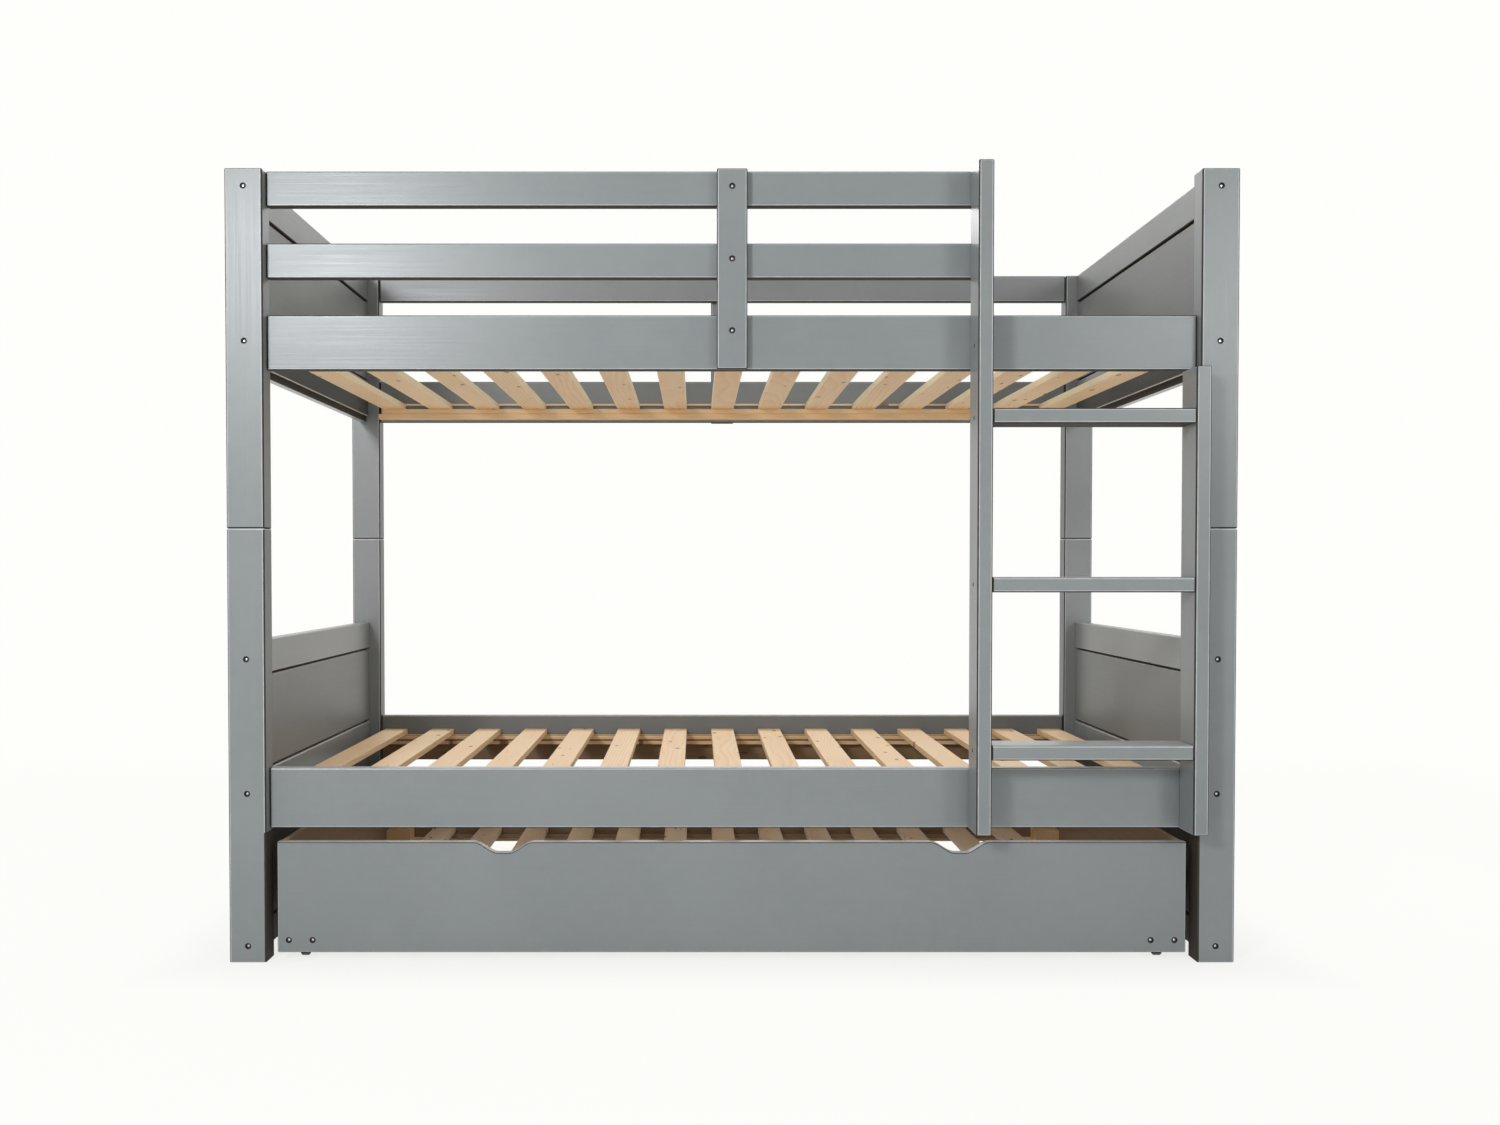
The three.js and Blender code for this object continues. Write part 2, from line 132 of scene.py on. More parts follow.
def ramp(value, low, high, out_low=0.0, out_high=1.0):
    """Ease a value from out_low to out_high as it runs from low to high."""
    sockets = {"Value": value, "From Min": low, "From Max": high,
               "To Min": out_low, "To Max": out_high}
    return onward("MapRange", sockets, interpolation_type="SMOOTHSTEP")["Result"]


def mixed(factor, first, second, blend="MIX"):
    """Two colours mixed; 6, 7 and 2 are the colour sockets of the node."""
    sockets = {0: factor, 6: first, 7: second}
    return onward("Mix", sockets, data_type="RGBA", blend_type=blend)[2]


def tinted(colour, tint):
    return mixed(1.0, colour, tint, "MULTIPLY")


def noise(place, scale, detail, roughness):
    sockets = {"Vector": place, "Scale": scale, "Detail": detail, "Roughness": roughness}
    return onward("TexNoise", sockets)["Fac"]


LOOK = {"Colour": "Color", "Roughness": "Float", "Height": "Float"}


def new_group(name, vectors, colours, numbers):
    """An empty node group that makes a look, and the sockets of its two end nodes."""
    tree = bpy.data.node_groups.new(name, "ShaderNodeTree")
    taken = {label: kind for labels, kind in (
        (vectors, "Vector"), (colours, "Color"), (numbers, "Float")) for label in labels}
    for way, sockets in (("INPUT", taken), ("OUTPUT", LOOK)):
        for label, kind in sockets.items():
            tree.interface.new_socket(label, in_out=way, socket_type="NodeSocket" + kind)
    return tree, tree.nodes.new("NodeGroupInput").outputs, tree.nodes.new("NodeGroupOutput").inputs


PAINT_DARKER = (0.955, 0.957, 0.960, 1)
PAINT_LIGHTER = (1.045, 1.043, 1.038, 1)
HIGHLIGHT_AND_PRIMER_TINT = (3.1, 2.95, 2.9, 1)
PAINTED_SHADE_TINT = (0.40, 0.39, 0.37, 1)
PAINTED_DEEP_SHADE_TINT = (0.11, 0.080, 0.055, 1)
CLOUD_SCALE, MOTTLE_SCALE, PEEL_SCALE = 3.2, 38.0, 620.0
HIGHLIGHT_AND_PRIMER_SHARE = 0.85
RUBBED_GLOSS = 0.10
MATT_ROUGHNESS = 0.5


def sprayed_paint_group():
    """Satin paint on pine: the grain telegraphs through, with orange peel, edge wear, painted
    highlight and painted shade.
    """
    tree, given, out = new_group(
        "sprayed paint", ("Place", "Fibre Place"), ("Paint",), ("Highlight And Wear", "Shade", "Line"))
    link = tree.links.new
    paint = given["Paint"]
    fibres = noise(given["Fibre Place"], 1.0, 5.0, 0.62)
    clouds = noise(given["Place"], CLOUD_SCALE, 3.0, 0.55)
    mottle = noise(given["Place"], MOTTLE_SCALE, 3.0, 0.6)
    peel = noise(given["Place"], PEEL_SCALE, 1.0, 0.5)
    # Edge wear and painted highlight: the pale primer tint on wearing edges, lit roundings and
    # tops.
    highlight_and_wear_amount = times(given["Highlight And Wear"], ramp(mottle, 0.38, 0.66, 0.78, 1.0))

    tone = weighed((clouds, 0.6), (mottle, 0.25), (fibres, 0.15))
    toned = mixed(ramp(tone, 0.36, 0.64), tinted(paint, PAINT_DARKER), tinted(paint, PAINT_LIGHTER))
    edged = mixed(times(highlight_and_wear_amount, HIGHLIGHT_AND_PRIMER_SHARE), toned, tinted(paint, HIGHLIGHT_AND_PRIMER_TINT))
    # Painted shade: darker where shade falls on a face, darker still in gaps, recesses and
    # turned-away facets.
    with_shade = mixed(given["Shade"], edged, tinted(paint, PAINTED_SHADE_TINT))
    with_deep_shade = mixed(given["Line"], with_shade, tinted(paint, PAINTED_DEEP_SHADE_TINT))
    link(with_deep_shade, out["Colour"])

    sheen = plus(ramp(clouds, 0.3, 0.7, 0.315, 0.345), ramp(fibres, 0.3, 0.7, -0.02, 0.035))
    sheen = minus(sheen, times(highlight_and_wear_amount, RUBBED_GLOSS))
    matt = largest(given["Shade"], given["Line"])
    link(plus(sheen, times(matt, MATT_ROUGHNESS)), out["Roughness"])
    grain = ramp(fibres, 0.28, 0.6)
    link(weighed((grain, 0.75), (peel, 0.22)), out["Height"])
    return tree


KNOTS_ALONG, KNOTS_ACROSS = 7.5, 17.0
KNOT_STRETCH = 2.6
KNOT_CHANCE = 0.38
KNOT_SWIRL = 0.010
RINGS_PER_METRE = 235.0
PITH_SIDE = (-0.07, 0.07)
PITH_DEPTH = (0.025, 0.085)
PITH_SWAY = 0.050
STREAKS_ALONG, STREAKS_ACROSS = 9.0, 420.0
SIDE_LIGHT_PINE = (1.0, 0.84, 0.56, 1)
PAINTED_SHADE_BROWN = (0.050, 0.024, 0.010, 1)

# What a board's number is multiplied by, to move each part of its figure on its own.
KNOT_JUMP, PITH_SIDE_JUMP, PITH_DEPTH_JUMP = 7.31, 3.713, 1.619
WANDER_JUMP, GRAIN_JUMP = 11.7, 1.913
PAINT_JUMP = (1.37, 2.11, 0.73)


def picked(number, jump, low, high):
    """A value between low and high that the board's number picks."""
    share = fraction(times(number, jump))
    return plus(times(share, high - low), low)


def pine_grain_group():
    """Dressed pine along the first axis of Grain Place: rings about a pith, knots, pores, painted
    light and shade.
    """
    tree, given, out = new_group(
        "pine grain", ("Grain Place",), ("Light", "Dark", "Knot"),
        ("Number", "Knot Size", "Side Light", "Line"))
    link = tree.links.new
    number = given["Number"]
    along, across, depth = axes(given["Grain Place"])

    # Knots: one chance in each cell of a stretched lattice, and the rings flow round them.
    lattice = vector(times(along, KNOTS_ALONG), weighed(
        (across, KNOTS_ACROSS), (number, KNOT_JUMP)))
    cells = onward("TexVoronoi", {"Vector": lattice, "Scale": 1.0, "Randomness": 0.9},
                   voronoi_dimensions="2D")
    offset = vector_maths("SUBTRACT", lattice, cells["Position"])[0]
    cell_size = (1 / KNOTS_ALONG / KNOT_STRETCH, 1 / KNOTS_ACROSS, 0)
    knot_offset = vector_maths("MULTIPLY", offset, cell_size)[0]
    knot_distance = vector_maths("LENGTH", knot_offset)["Value"]
    chance = onward("SeparateColor", {"Color": cells["Color"]})[0]
    radius = times(ramp(chance, KNOT_CHANCE, 1.0), given["Knot Size"])
    nearness = maths("DIVIDE", knot_distance, plus(radius, 0.0001))
    knot = ramp(nearness, 1.25, 0.75)
    halo = ramp(nearness, 3.6, 0.8)
    rim = times(ramp(nearness, 0.75, 0.98), ramp(nearness, 1.3, 1.02))

    # Rings: distance from a pith that lies off the board and wanders along it.
    pith_side = picked(number, PITH_SIDE_JUMP, *PITH_SIDE)
    pith_depth = picked(number, PITH_DEPTH_JUMP, *PITH_DEPTH)
    long_place = vector(times(along, 1.15), times(across, 5.0), weighed(
        (depth, 5.0), (number, WANDER_JUMP)))
    bends = minus(noise(long_place, 1.0, 2.0, 0.45), 0.5)
    wander = times(bends, PITH_SWAY)
    side = plus(minus(across, pith_side), wander)
    down = plus(minus(depth, pith_depth), wander)
    squares = plus(maths("POWER", side, 2.0), maths("POWER", down, 2.0))
    distance = plus(maths("SQRT", squares), times(halo, KNOT_SWIRL))
    ring = fraction(times(distance, RINGS_PER_METRE))
    late_wood = times(ramp(ring, 0.15, 0.88), ramp(ring, 1.0, 0.93))

    # Pores and fine streaks along the fibres.
    streak_place = vector(
        times(along, STREAKS_ALONG), times(across, STREAKS_ACROSS),
        plus(times(depth, STREAKS_ACROSS), number))
    streaks = noise(streak_place, 1.0, 3.0, 0.6)
    broad = noise(long_place, 2.3, 2.0, 0.5)
    tone = plus(times(late_wood, 0.55), ramp(streaks, 0.35, 0.75, 0.0, 0.20))
    tone = plus(tone, ramp(broad, 0.35, 0.7, -0.06, 0.22), clamp=True)
    wood = mixed(tone, given["Light"], given["Dark"])
    halo_wood = mixed(times(halo, 0.38), wood, given["Dark"])
    knot_rings = fraction(times(nearness, 3.2))
    knot_share = ramp(knot_rings, 0.2, 0.9, 0.0, 0.35)
    knot_wood = mixed(knot_share, given["Knot"], given["Dark"])
    knotted = mixed(knot, halo_wood, knot_wood)
    rimmed = mixed(times(rim, 0.75), knotted, given["Knot"])
    # Painted light on the sides of the upper slats, and painted shade in brown where shade falls.
    planed = mixed(times(given["Side Light"], 0.9), rimmed, SIDE_LIGHT_PINE)
    link(mixed(given["Line"], planed, PAINTED_SHADE_BROWN), out["Colour"])

    rough = minus(ramp(streaks, 0.3, 0.7, 0.52, 0.64), times(late_wood, 0.06))
    link(minus(rough, times(knot, 0.12)), out["Roughness"])
    ridges = weighed((late_wood, 0.45), (streaks, 0.4))
    link(minus(ridges, times(rim, 0.3)), out["Height"])
    return tree


def speckle_group():
    """Fine speckle and scuffs of small turned or moulded parts."""
    tree, given, out = new_group(
        "small part wear", ("Place",), ("Base", "Scuff"), ("Gloss", "Scale"))
    link = tree.links.new
    fine = noise(given["Place"], given["Scale"], 3.0, 0.6)
    coarse = noise(given["Place"], times(given["Scale"], 0.17), 2.0, 0.5)
    scuffed = times(ramp(coarse, 0.5, 0.72), ramp(fine, 0.4, 0.62))
    link(mixed(scuffed, given["Base"], given["Scuff"]), out["Colour"])
    rough = plus(given["Gloss"], ramp(fine, 0.3, 0.7, -0.05, 0.07))
    link(plus(rough, times(scuffed, 0.12)), out["Roughness"])
    link(fine, out["Height"])
    return tree


PAINT = (0.236, 0.255, 0.260, 1)
PINE_LIGHT = (0.940, 0.695, 0.420, 1)
PINE_DARK = (0.840, 0.515, 0.235, 1)
DULL_PINE_LIGHT = (0.96, 0.81, 0.62, 1)
DULL_PINE_DARK = (0.86, 0.68, 0.49, 1)
KNOT_BROWN = (0.230, 0.100, 0.036, 1)
SLAT_KNOT_SIZE = 4.4 * MM
BOARD_KNOT_SIZE = 4.0 * MM
FIBRES_ALONG, FIBRES_ACROSS = 3.5, 260.0
PAINT_RELIEF, PINE_RELIEF = 0.06 * MM, 0.12 * MM
METAL_RELIEF, PLASTIC_RELIEF = 0.03 * MM, 0.06 * MM

paint_nodes = sprayed_paint_group()
pine_nodes = pine_grain_group()
wear_nodes = speckle_group()


def new_material(name):
    material = bpy.data.materials.new(name)
    material.use_nodes = True
    tree = material.node_tree
    shader = tree.nodes["Principled BSDF"]
    place = node(tree, "TexCoord").outputs["Object"]
    return material, tree, shader, place


def finish_with(shader, effect, depth):
    """Link an effect's colour, roughness and height to the shader."""
    bump = onward("Bump", {"Height": effect["Height"], "Strength": 1.0, "Distance": depth})
    sources = {"Base Color": effect["Colour"], "Roughness": effect["Roughness"], "Normal": bump[0]}
    for name, source in sources.items():
        shader.id_data.links.new(source, shader.inputs[name])


def mark(tree, name):
    """A number kept on the points or faces of the mesh."""
    return node(tree, "Attribute", attribute_name=name, attribute_type="GEOMETRY").outputs["Fac"]


def shifted(place, number):
    """The place moved by the board's own number, so that no two boards look alike."""
    jump = vector_maths("MULTIPLY", vector(number, number, number), PAINT_JUMP)[0]
    return vector_maths("ADD", place, jump)[0]


def paint_material(name, along):
    material, tree, shader, place = new_material(name)
    moved = shifted(place, mark(tree, "board_number"))
    fineness = [FIBRES_ACROSS] * 3
    fineness[along] = FIBRES_ALONG
    effect = onward("Group", {
        "Place": moved, "Fibre Place": vector_maths("MULTIPLY", moved, fineness)[0],
        "Paint": PAINT, "Highlight And Wear": mark(tree, "eased_edge"), "Shade": mark(tree, "thin_coat"),
        "Line": mark(tree, "joint_line")}, node_tree=paint_nodes)
    finish_with(shader, effect, PAINT_RELIEF)
    return material


def pine_material(name, order, light=PINE_LIGHT, dark=PINE_DARK, knot_size=SLAT_KNOT_SIZE):
    """Pine whose fibres run along the first axis of order."""
    material, tree, shader, place = new_material(name)
    number = mark(tree, "board_number")
    parts = axes(place)
    along, across, depth = (parts[axis] for axis in order)
    moved = plus(along, times(number, GRAIN_JUMP))
    effect = onward("Group", {
        "Grain Place": vector(moved, across, depth), "Number": number,
        "Light": light, "Dark": dark, "Knot": KNOT_BROWN, "Knot Size": knot_size,
        "Side Light": mark(tree, "planed_side"), "Line": mark(tree, "joint_line")},
        node_tree=pine_nodes)
    finish_with(shader, effect, PINE_RELIEF)
    return material


def small_material(name, base, scuff, gloss, scale, metallic, relief):
    material, _, shader, place = new_material(name)
    effect = onward("Group", {
        "Place": place, "Base": (*base, 1), "Scuff": (*scuff, 1), "Gloss": gloss, "Scale": scale},
        node_tree=wear_nodes)
    finish_with(shader, effect, relief)
    shader.inputs["Metallic"].default_value = metallic
    return material


MATERIALS = {
    "paint_x": paint_material("grey paint, boards along X", X),
    "paint_y": paint_material("grey paint, boards along Y", Y),
    "paint_z": paint_material("grey paint, boards along Z", Z),
    "pine_x": pine_material("natural pine, boards along X", (X, Y, Z)),
    "pine_y": pine_material("natural pine, boards along Y", (Y, X, Z)),
    "pine_y_dull": pine_material(
        "duller pine of the trundle slats", (Y, X, Z), DULL_PINE_LIGHT, DULL_PINE_DARK),
    "pine_x_upright": pine_material(
        "natural pine, boards on edge along X", (X, Z, Y), knot_size=BOARD_KNOT_SIZE),
    "pine_y_upright": pine_material(
        "natural pine, boards on edge along Y", (Y, Z, X), knot_size=BOARD_KNOT_SIZE),
    "zinc": small_material(
        "zinc plated steel", (0.62, 0.62, 0.61), (0.36, 0.35, 0.34),
        gloss=0.30, scale=900.0, metallic=1.0, relief=METAL_RELIEF),
    "black_steel": small_material(
        "blackened steel washers", (0.012, 0.012, 0.013), (0.035, 0.033, 0.031),
        gloss=0.55, scale=900.0, metallic=0.0, relief=METAL_RELIEF),
    "nail": small_material(
        "bright nail heads", (0.50, 0.49, 0.47), (0.20, 0.18, 0.16),
        gloss=0.38, scale=1200.0, metallic=1.0, relief=METAL_RELIEF),
    "wheel": small_material(
        "black moulded plastic", (0.014, 0.014, 0.015), (0.050, 0.048, 0.046),
        gloss=0.46, scale=700.0, metallic=0.0, relief=PLASTIC_RELIEF),
}


# ---- joinery

def mode(name):
    bpy.ops.object.mode_set(mode=name)


def pick(*pieces):
    """Select just these pieces, the first of them active."""
    bpy.ops.object.select_all(action="DESELECT")
    for piece in pieces:
        piece.select_set(True)
    bpy.context.view_layer.objects.active = pieces[0]


def name_it(piece, name):
    piece.name = name
    piece.data.name = name
    return piece


def add(name, primitive, **settings):
    """Add one of Blender's primitives under a name."""
    bpy.ops.object.select_all(action="DESELECT")
    primitive(**settings)
    return name_it(bpy.context.object, name)


def settle(piece):
    """Put the object's place in its mesh, with the object at the origin."""
    pick(piece)
    bpy.ops.object.transform_apply(location=True, rotation=True, scale=True)
    return piece


def block(name, low, high):
    """A sawn block between two corners."""
    low, high = Vector(low), Vector(high)
    return settle(add(name, bpy.ops.mesh.primitive_cube_add, size=1,
                      location=(low + high) / 2, scale=high - low))


def rod(name, centre, radius, length, along=Z, sides=32):
    """A turned rod along one axis, centred on a point."""
    turns = {X: (0, math.pi / 2, 0), Y: (math.pi / 2, 0, 0), Z: (0, 0, 0)}
    return settle(add(name, bpy.ops.mesh.primitive_cylinder_add, vertices=sides, radius=radius,
                      depth=length, location=centre, rotation=turns[along]))


def modify(piece, kind, **settings):
    pick(piece)
    modifier = piece.modifiers.new(kind.lower(), kind)
    for name, value in settings.items():
        setattr(modifier, name, value)
    bpy.ops.object.modifier_apply(modifier=modifier.name)
    return piece


def bevel_corners(piece, width, segments=1, degrees=60):
    """Bevel the edges where faces meet at more than an angle."""
    return modify(piece, "BEVEL", width=width, segments=segments, limit_method="ANGLE",
                  angle_limit=math.radians(degrees))


def discard(piece):
    mesh = piece.data
    bpy.data.objects.remove(piece)
    bpy.data.meshes.remove(mesh)


def cut(piece, other, operation="DIFFERENCE"):
    modify(piece, "BOOLEAN", object=other, operation=operation, solver="EXACT")
    discard(other)
    return piece


def weld(piece, other):
    """Grow another shape into a piece as one closed solid."""
    cut(piece, other, "UNION")


def join(name, *pieces):
    """Several separate shells of one fitting, as one object."""
    pick(*pieces)
    bpy.ops.object.join()
    return name_it(bpy.context.object, name)


def twin(piece, name, move, turn_z=0.0):
    """A copy with its own mesh, turned about Z through the origin and then moved."""
    pick(piece)
    bpy.ops.object.duplicate(linked=False)
    made = name_it(bpy.context.object, name)
    made.rotation_euler = (0, 0, turn_z)
    made.location = move
    return settle(made)


def eased_block(name, along, low, high, edge, end_edge, segments=4):
    """A board with its long edges rounded by edge and its end edges by end_edge."""
    piece = block(name, low, high)
    mesh = piece.data
    weights = mesh.attributes.new("bevel_weight_edge", "FLOAT", "EDGE")
    for stretch in mesh.edges:
        first, last = (mesh.vertices[v].co for v in stretch.vertices)
        is_long = abs((last - first)[along]) > NEAR
        weights.data[stretch.index].value = 1.0 if is_long else end_edge / edge
    modify(piece, "BEVEL", width=edge, segments=segments, limit_method="WEIGHT",
           miter_outer="MITER_ARC")
    left_over = piece.data.attributes.get("bevel_weight_edge")
    if left_over:
        piece.data.attributes.remove(left_over)
    return piece


def board_for(cad_node, along, edge, end_edge):
    """The painted board that stands for a CAD node, and the corners of its box."""
    low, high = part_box(cad_node)
    return eased_block(cad_node + "_painted", along, low, high, edge, end_edge), low, high


def slice_board(piece, along, place):
    """Split the faces of a board across an axis, so that each part takes its own marks."""
    across = [0, 0, 0]
    across[along] = 1
    pick(piece)
    mode("EDIT")
    bpy.ops.mesh.select_all(action="SELECT")
    bpy.ops.mesh.bisect(plane_co=[place * part for part in across], plane_no=across)
    mode("OBJECT")


def select_parts(piece, kind, test):
    """Select just the faces, edges or points that pass the test, and stay in edit mode."""
    mode("EDIT")
    bpy.ops.mesh.select_mode(type=kind)
    bpy.ops.mesh.select_all(action="DESELECT")
    mode("OBJECT")
    mesh = piece.data
    for part in {"FACE": mesh.polygons, "EDGE": mesh.edges, "VERT": mesh.vertices}[kind]:
        part.select = test(part)
    mode("EDIT")


def push_out(move, grow):
    """Extrude the selected faces by a move, and resize them about the origin."""
    bpy.ops.mesh.extrude_region_move(TRANSFORM_OT_translate={"value": move})
    bpy.ops.transform.resize(value=grow, center_override=(0, 0, 0))


def outer(low, high, sign):
    """The corner of a box that lies furthest out on the side with that sign."""
    return low if sign < 0 else high


# ---- marks on faces

# How far a face leans to an axis at least: a flat face, the facet beside it, a face that
# looks that way, and two that only lean.
FLAT, BESIDE_FLAT, STRAIGHT, TILTED, LEANING = 0.995, 0.95, 0.9, 0.3, 0.1
FRONT_ROUNDING = 0.05
LOW_ROUNDING_HEIGHT = 0.79
# Edge wear and painted highlight beside flat faces and on low upper roundings; painted reflection
# on tops.
EDGE_HIGHLIGHT_AND_WEAR, LOW_HIGHLIGHT_AND_WEAR, TOP_PAINTED_REFLECTION = 0.75, 0.3, 0.22
# Painted shade on turned-away facets of roundings, and under rails.
SIDE_SHADE, EDGE_SHADE, UNDER_RAIL_SHADE = 0.95, 0.75, 0.6
GOLDEN_SHARE, NUMBER_SPREAD = 0.618034, 3.0


def mark_faces(piece, **tests):
    """Keep a number on each face, from a test of the face, for the materials to read."""
    for name, test in tests.items():
        marks = piece.data.attributes.new(name, "FLOAT", "FACE")
        marks.data.foreach_set("value", [float(test(face)) for face in piece.data.polygons])


def squareness(face):
    """1 for a face that looks along an axis, less for the facets of a rounding."""
    return max(abs(part) for part in face.normal)


def looks(face, along, sign=1, least=STRAIGHT):
    """Whether a face looks along an axis, or against it."""
    return face.normal[along] * sign > least


def faces_down(face):
    return looks(face, Z, -1)


def inner_face_shade(along, inward, amount):
    """A test for painted shade: full under the board, and an amount on its face towards the bed."""
    return lambda face: 1.0 if faces_down(face) else amount * looks(face, along, inward)


def low_upper_rounding(face):
    """The upper roundings of boards below chest height."""
    return face.center.z < LOW_ROUNDING_HEIGHT and TILTED < face.normal.z < FLAT


def rounding_highlight_and_wear(face):
    """Edge wear and painted highlight in the pale primer tint beside a flat face, and a little
    painted reflection on the tops.
    """
    if looks(face, Z, least=FLAT):
        return TOP_PAINTED_REFLECTION
    if low_upper_rounding(face):
        return LOW_HIGHLIGHT_AND_WEAR
    toward_side = abs(face.normal.y)
    if FRONT_ROUNDING < toward_side < FLAT:
        return EDGE_HIGHLIGHT_AND_WEAR * (toward_side > BESIDE_FLAT)
    return EDGE_HIGHLIGHT_AND_WEAR * (BESIDE_FLAT < squareness(face) < FLAT)


def rounding_shade(face):
    """Painted shade on the turned-away facets of a rounding."""
    if low_upper_rounding(face):
        return 0.0
    toward_side = abs(face.normal.y)
    if FRONT_ROUNDING < toward_side < FLAT:
        return SIDE_SHADE * (toward_side < BESIDE_FLAT)
    return EDGE_SHADE * (squareness(face) <= BESIDE_FLAT)


board_count = itertools.count(1)


def number_board(piece):
    """Give each board its own number, which moves its grain and the clouds of its paint."""
    value = next(board_count) * GOLDEN_SHARE * NUMBER_SPREAD
    numbers = piece.data.attributes.new("board_number", "FLOAT", "POINT")
    numbers.data.foreach_set("value", [value] * len(piece.data.vertices))


def body_of(cad_node):
    return frame["nodes"][cad_node]["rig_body"]


def give_material(piece, finish):
    piece.data.materials.clear()
    piece.data.materials.append(MATERIALS[finish])


def hand_over(piece, finish, cad_node=None, body=None, degrees=40, butted=None, line=None):
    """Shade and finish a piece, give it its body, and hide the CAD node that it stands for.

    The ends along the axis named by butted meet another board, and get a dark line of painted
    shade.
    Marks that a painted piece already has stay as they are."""
    def joint(face):
        if butted is not None and abs(face.normal[butted]) > LEANING:
            return 1.0
        own = line and float(line(face))
        return own or (UNDER_RAIL_SHADE if butted == X and faces_down(face) else rounding_shade(face))

    pick(piece)
    bpy.ops.object.shade_smooth_by_angle(angle=math.radians(degrees))
    modify(piece, "WEIGHTED_NORMAL", keep_sharp=True, weight=100)
    if finish.startswith("paint"):
        # Painted shade under the board and on its butted ends; edge wear and painted highlight on
        # its roundings.
        usual = {"thin_coat": faces_down, "eased_edge": rounding_highlight_and_wear, "joint_line": joint}
        present = piece.data.attributes.keys()
        mark_faces(piece, **{name: usual[name] for name in usual if name not in present})
    if finish.startswith(("paint", "pine")):
        number_board(piece)
    if finish != "fitted":
        give_material(piece, finish)
    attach(piece, body or body_of(cad_node))
    if cad_node:
        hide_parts(cad_node)
    return piece


# ---- fastenings

# Radius, depth and lip of each kind of recess.
BOLT_RECESS = (5.8 * MM, 5.0 * MM, 0.5 * MM)
SCREW_RECESS = (4.2 * MM, 2.2 * MM, 0.3 * MM)
BOLT_RADIUS, BOLT_HEIGHT, BOLT_DOME = 2.4 * MM, 3.0 * MM, 0.9 * MM
SOCKET_RADIUS, SOCKET_LENGTH, SOCKET_Y = 1.0 * MM, 1.8 * MM, -2.6 * MM
WASHER_RADIUS, WASHER_THICKNESS, WASHER_CHAMFER = 5.7 * MM, 1.0 * MM, 0.25 * MM
SCREW_RADIUS, SCREW_HEIGHT, SCREW_DOME = 3.5 * MM, 1.0 * MM, 0.35 * MM
CROSS_ARM, CROSS_HALF_WIDTH = 2.0 * MM, 0.4 * MM
CROSS_DEPTH, CROSS_OVERCUT = 0.6 * MM, 0.5 * MM
DRILL_OVERRUN = 2 * MM
SEAT_LIFT = 0.02 * MM
RECESS_REACH = (0.01 * MM, 6 * MM, 7 * MM)


def drill(radius, depth, lip):
    """A drill that bores along +Y from a face at the origin, with an eased mouth."""
    tool = rod("drill", (0, depth / 2, 0), radius, depth, Y)
    select_parts(tool, "FACE", lambda face: looks(face, Y, -1))
    bpy.ops.transform.translate(value=(0, lip, 0))
    grow = (radius + lip) / radius
    push_out((0, -lip, 0), (grow, 1, grow))
    bpy.ops.mesh.extrude_region_move(TRANSFORM_OT_translate={"value": (0, -DRILL_OVERRUN, 0)})
    mode("OBJECT")
    return tool


def domed(name, centre_y, radius, height, dome, segments, sides):
    """A round head along Y, its front edge rounded."""
    head = rod(name, (0, centre_y, 0), radius, height, Y, sides)
    select_parts(head, "FACE", lambda face: looks(face, Y, -1))
    bpy.ops.mesh.bevel(offset=dome, segments=segments, affect="EDGES")
    mode("OBJECT")
    return head


def button_bolt():
    """A low-domed socket bolt on its washer that looks out along -Y from y = 0."""
    bolt = domed("button_bolt", -BOLT_HEIGHT / 2, BOLT_RADIUS, BOLT_HEIGHT, BOLT_DOME, 3, 28)
    cut(bolt, rod("socket", (0, SOCKET_Y, 0), SOCKET_RADIUS, SOCKET_LENGTH, Y, sides=6))
    bolt.data.materials.append(MATERIALS["zinc"])
    washer = rod("washer", (0, -WASHER_THICKNESS / 2, 0), WASHER_RADIUS, WASHER_THICKNESS, Y, 28)
    bevel_corners(washer, WASHER_CHAMFER)
    washer.data.materials.append(MATERIALS["black_steel"])
    return join("button_bolt", bolt, washer)


def flat_screw():
    """A countersunk screw head with a cross recess, looking out along -Y from y = 0."""
    head = domed("flat_screw", SCREW_HEIGHT / 2, SCREW_RADIUS, SCREW_HEIGHT, SCREW_DOME, 2, 24)
    head.data.materials.append(MATERIALS["zinc"])
    for x, z in ((CROSS_ARM, CROSS_HALF_WIDTH), (CROSS_HALF_WIDTH, CROSS_ARM)):
        cut(head, block("arm", (-x, -CROSS_OVERCUT, -z), (x, CROSS_DEPTH, z)))
    return head


# Of each kind its pattern, its drill, and how deep its seat lies.
FASTENINGS = {
    "bolt": (button_bolt(), drill(*BOLT_RECESS), BOLT_RECESS[1]),
    "screw": (flat_screw(), drill(*SCREW_RECESS), SCREW_RECESS[1] - SCREW_HEIGHT),
}

# Of each way out its normal, and the turn about Z that points -Y there.
WAYS = {"front": (Vector((0, -1, 0)), 0.0), "back": (Vector((0, 1, 0)), math.pi),
        "left": (Vector((-1, 0, 0)), -math.pi / 2), "right": (Vector((1, 0, 0)), math.pi / 2)}


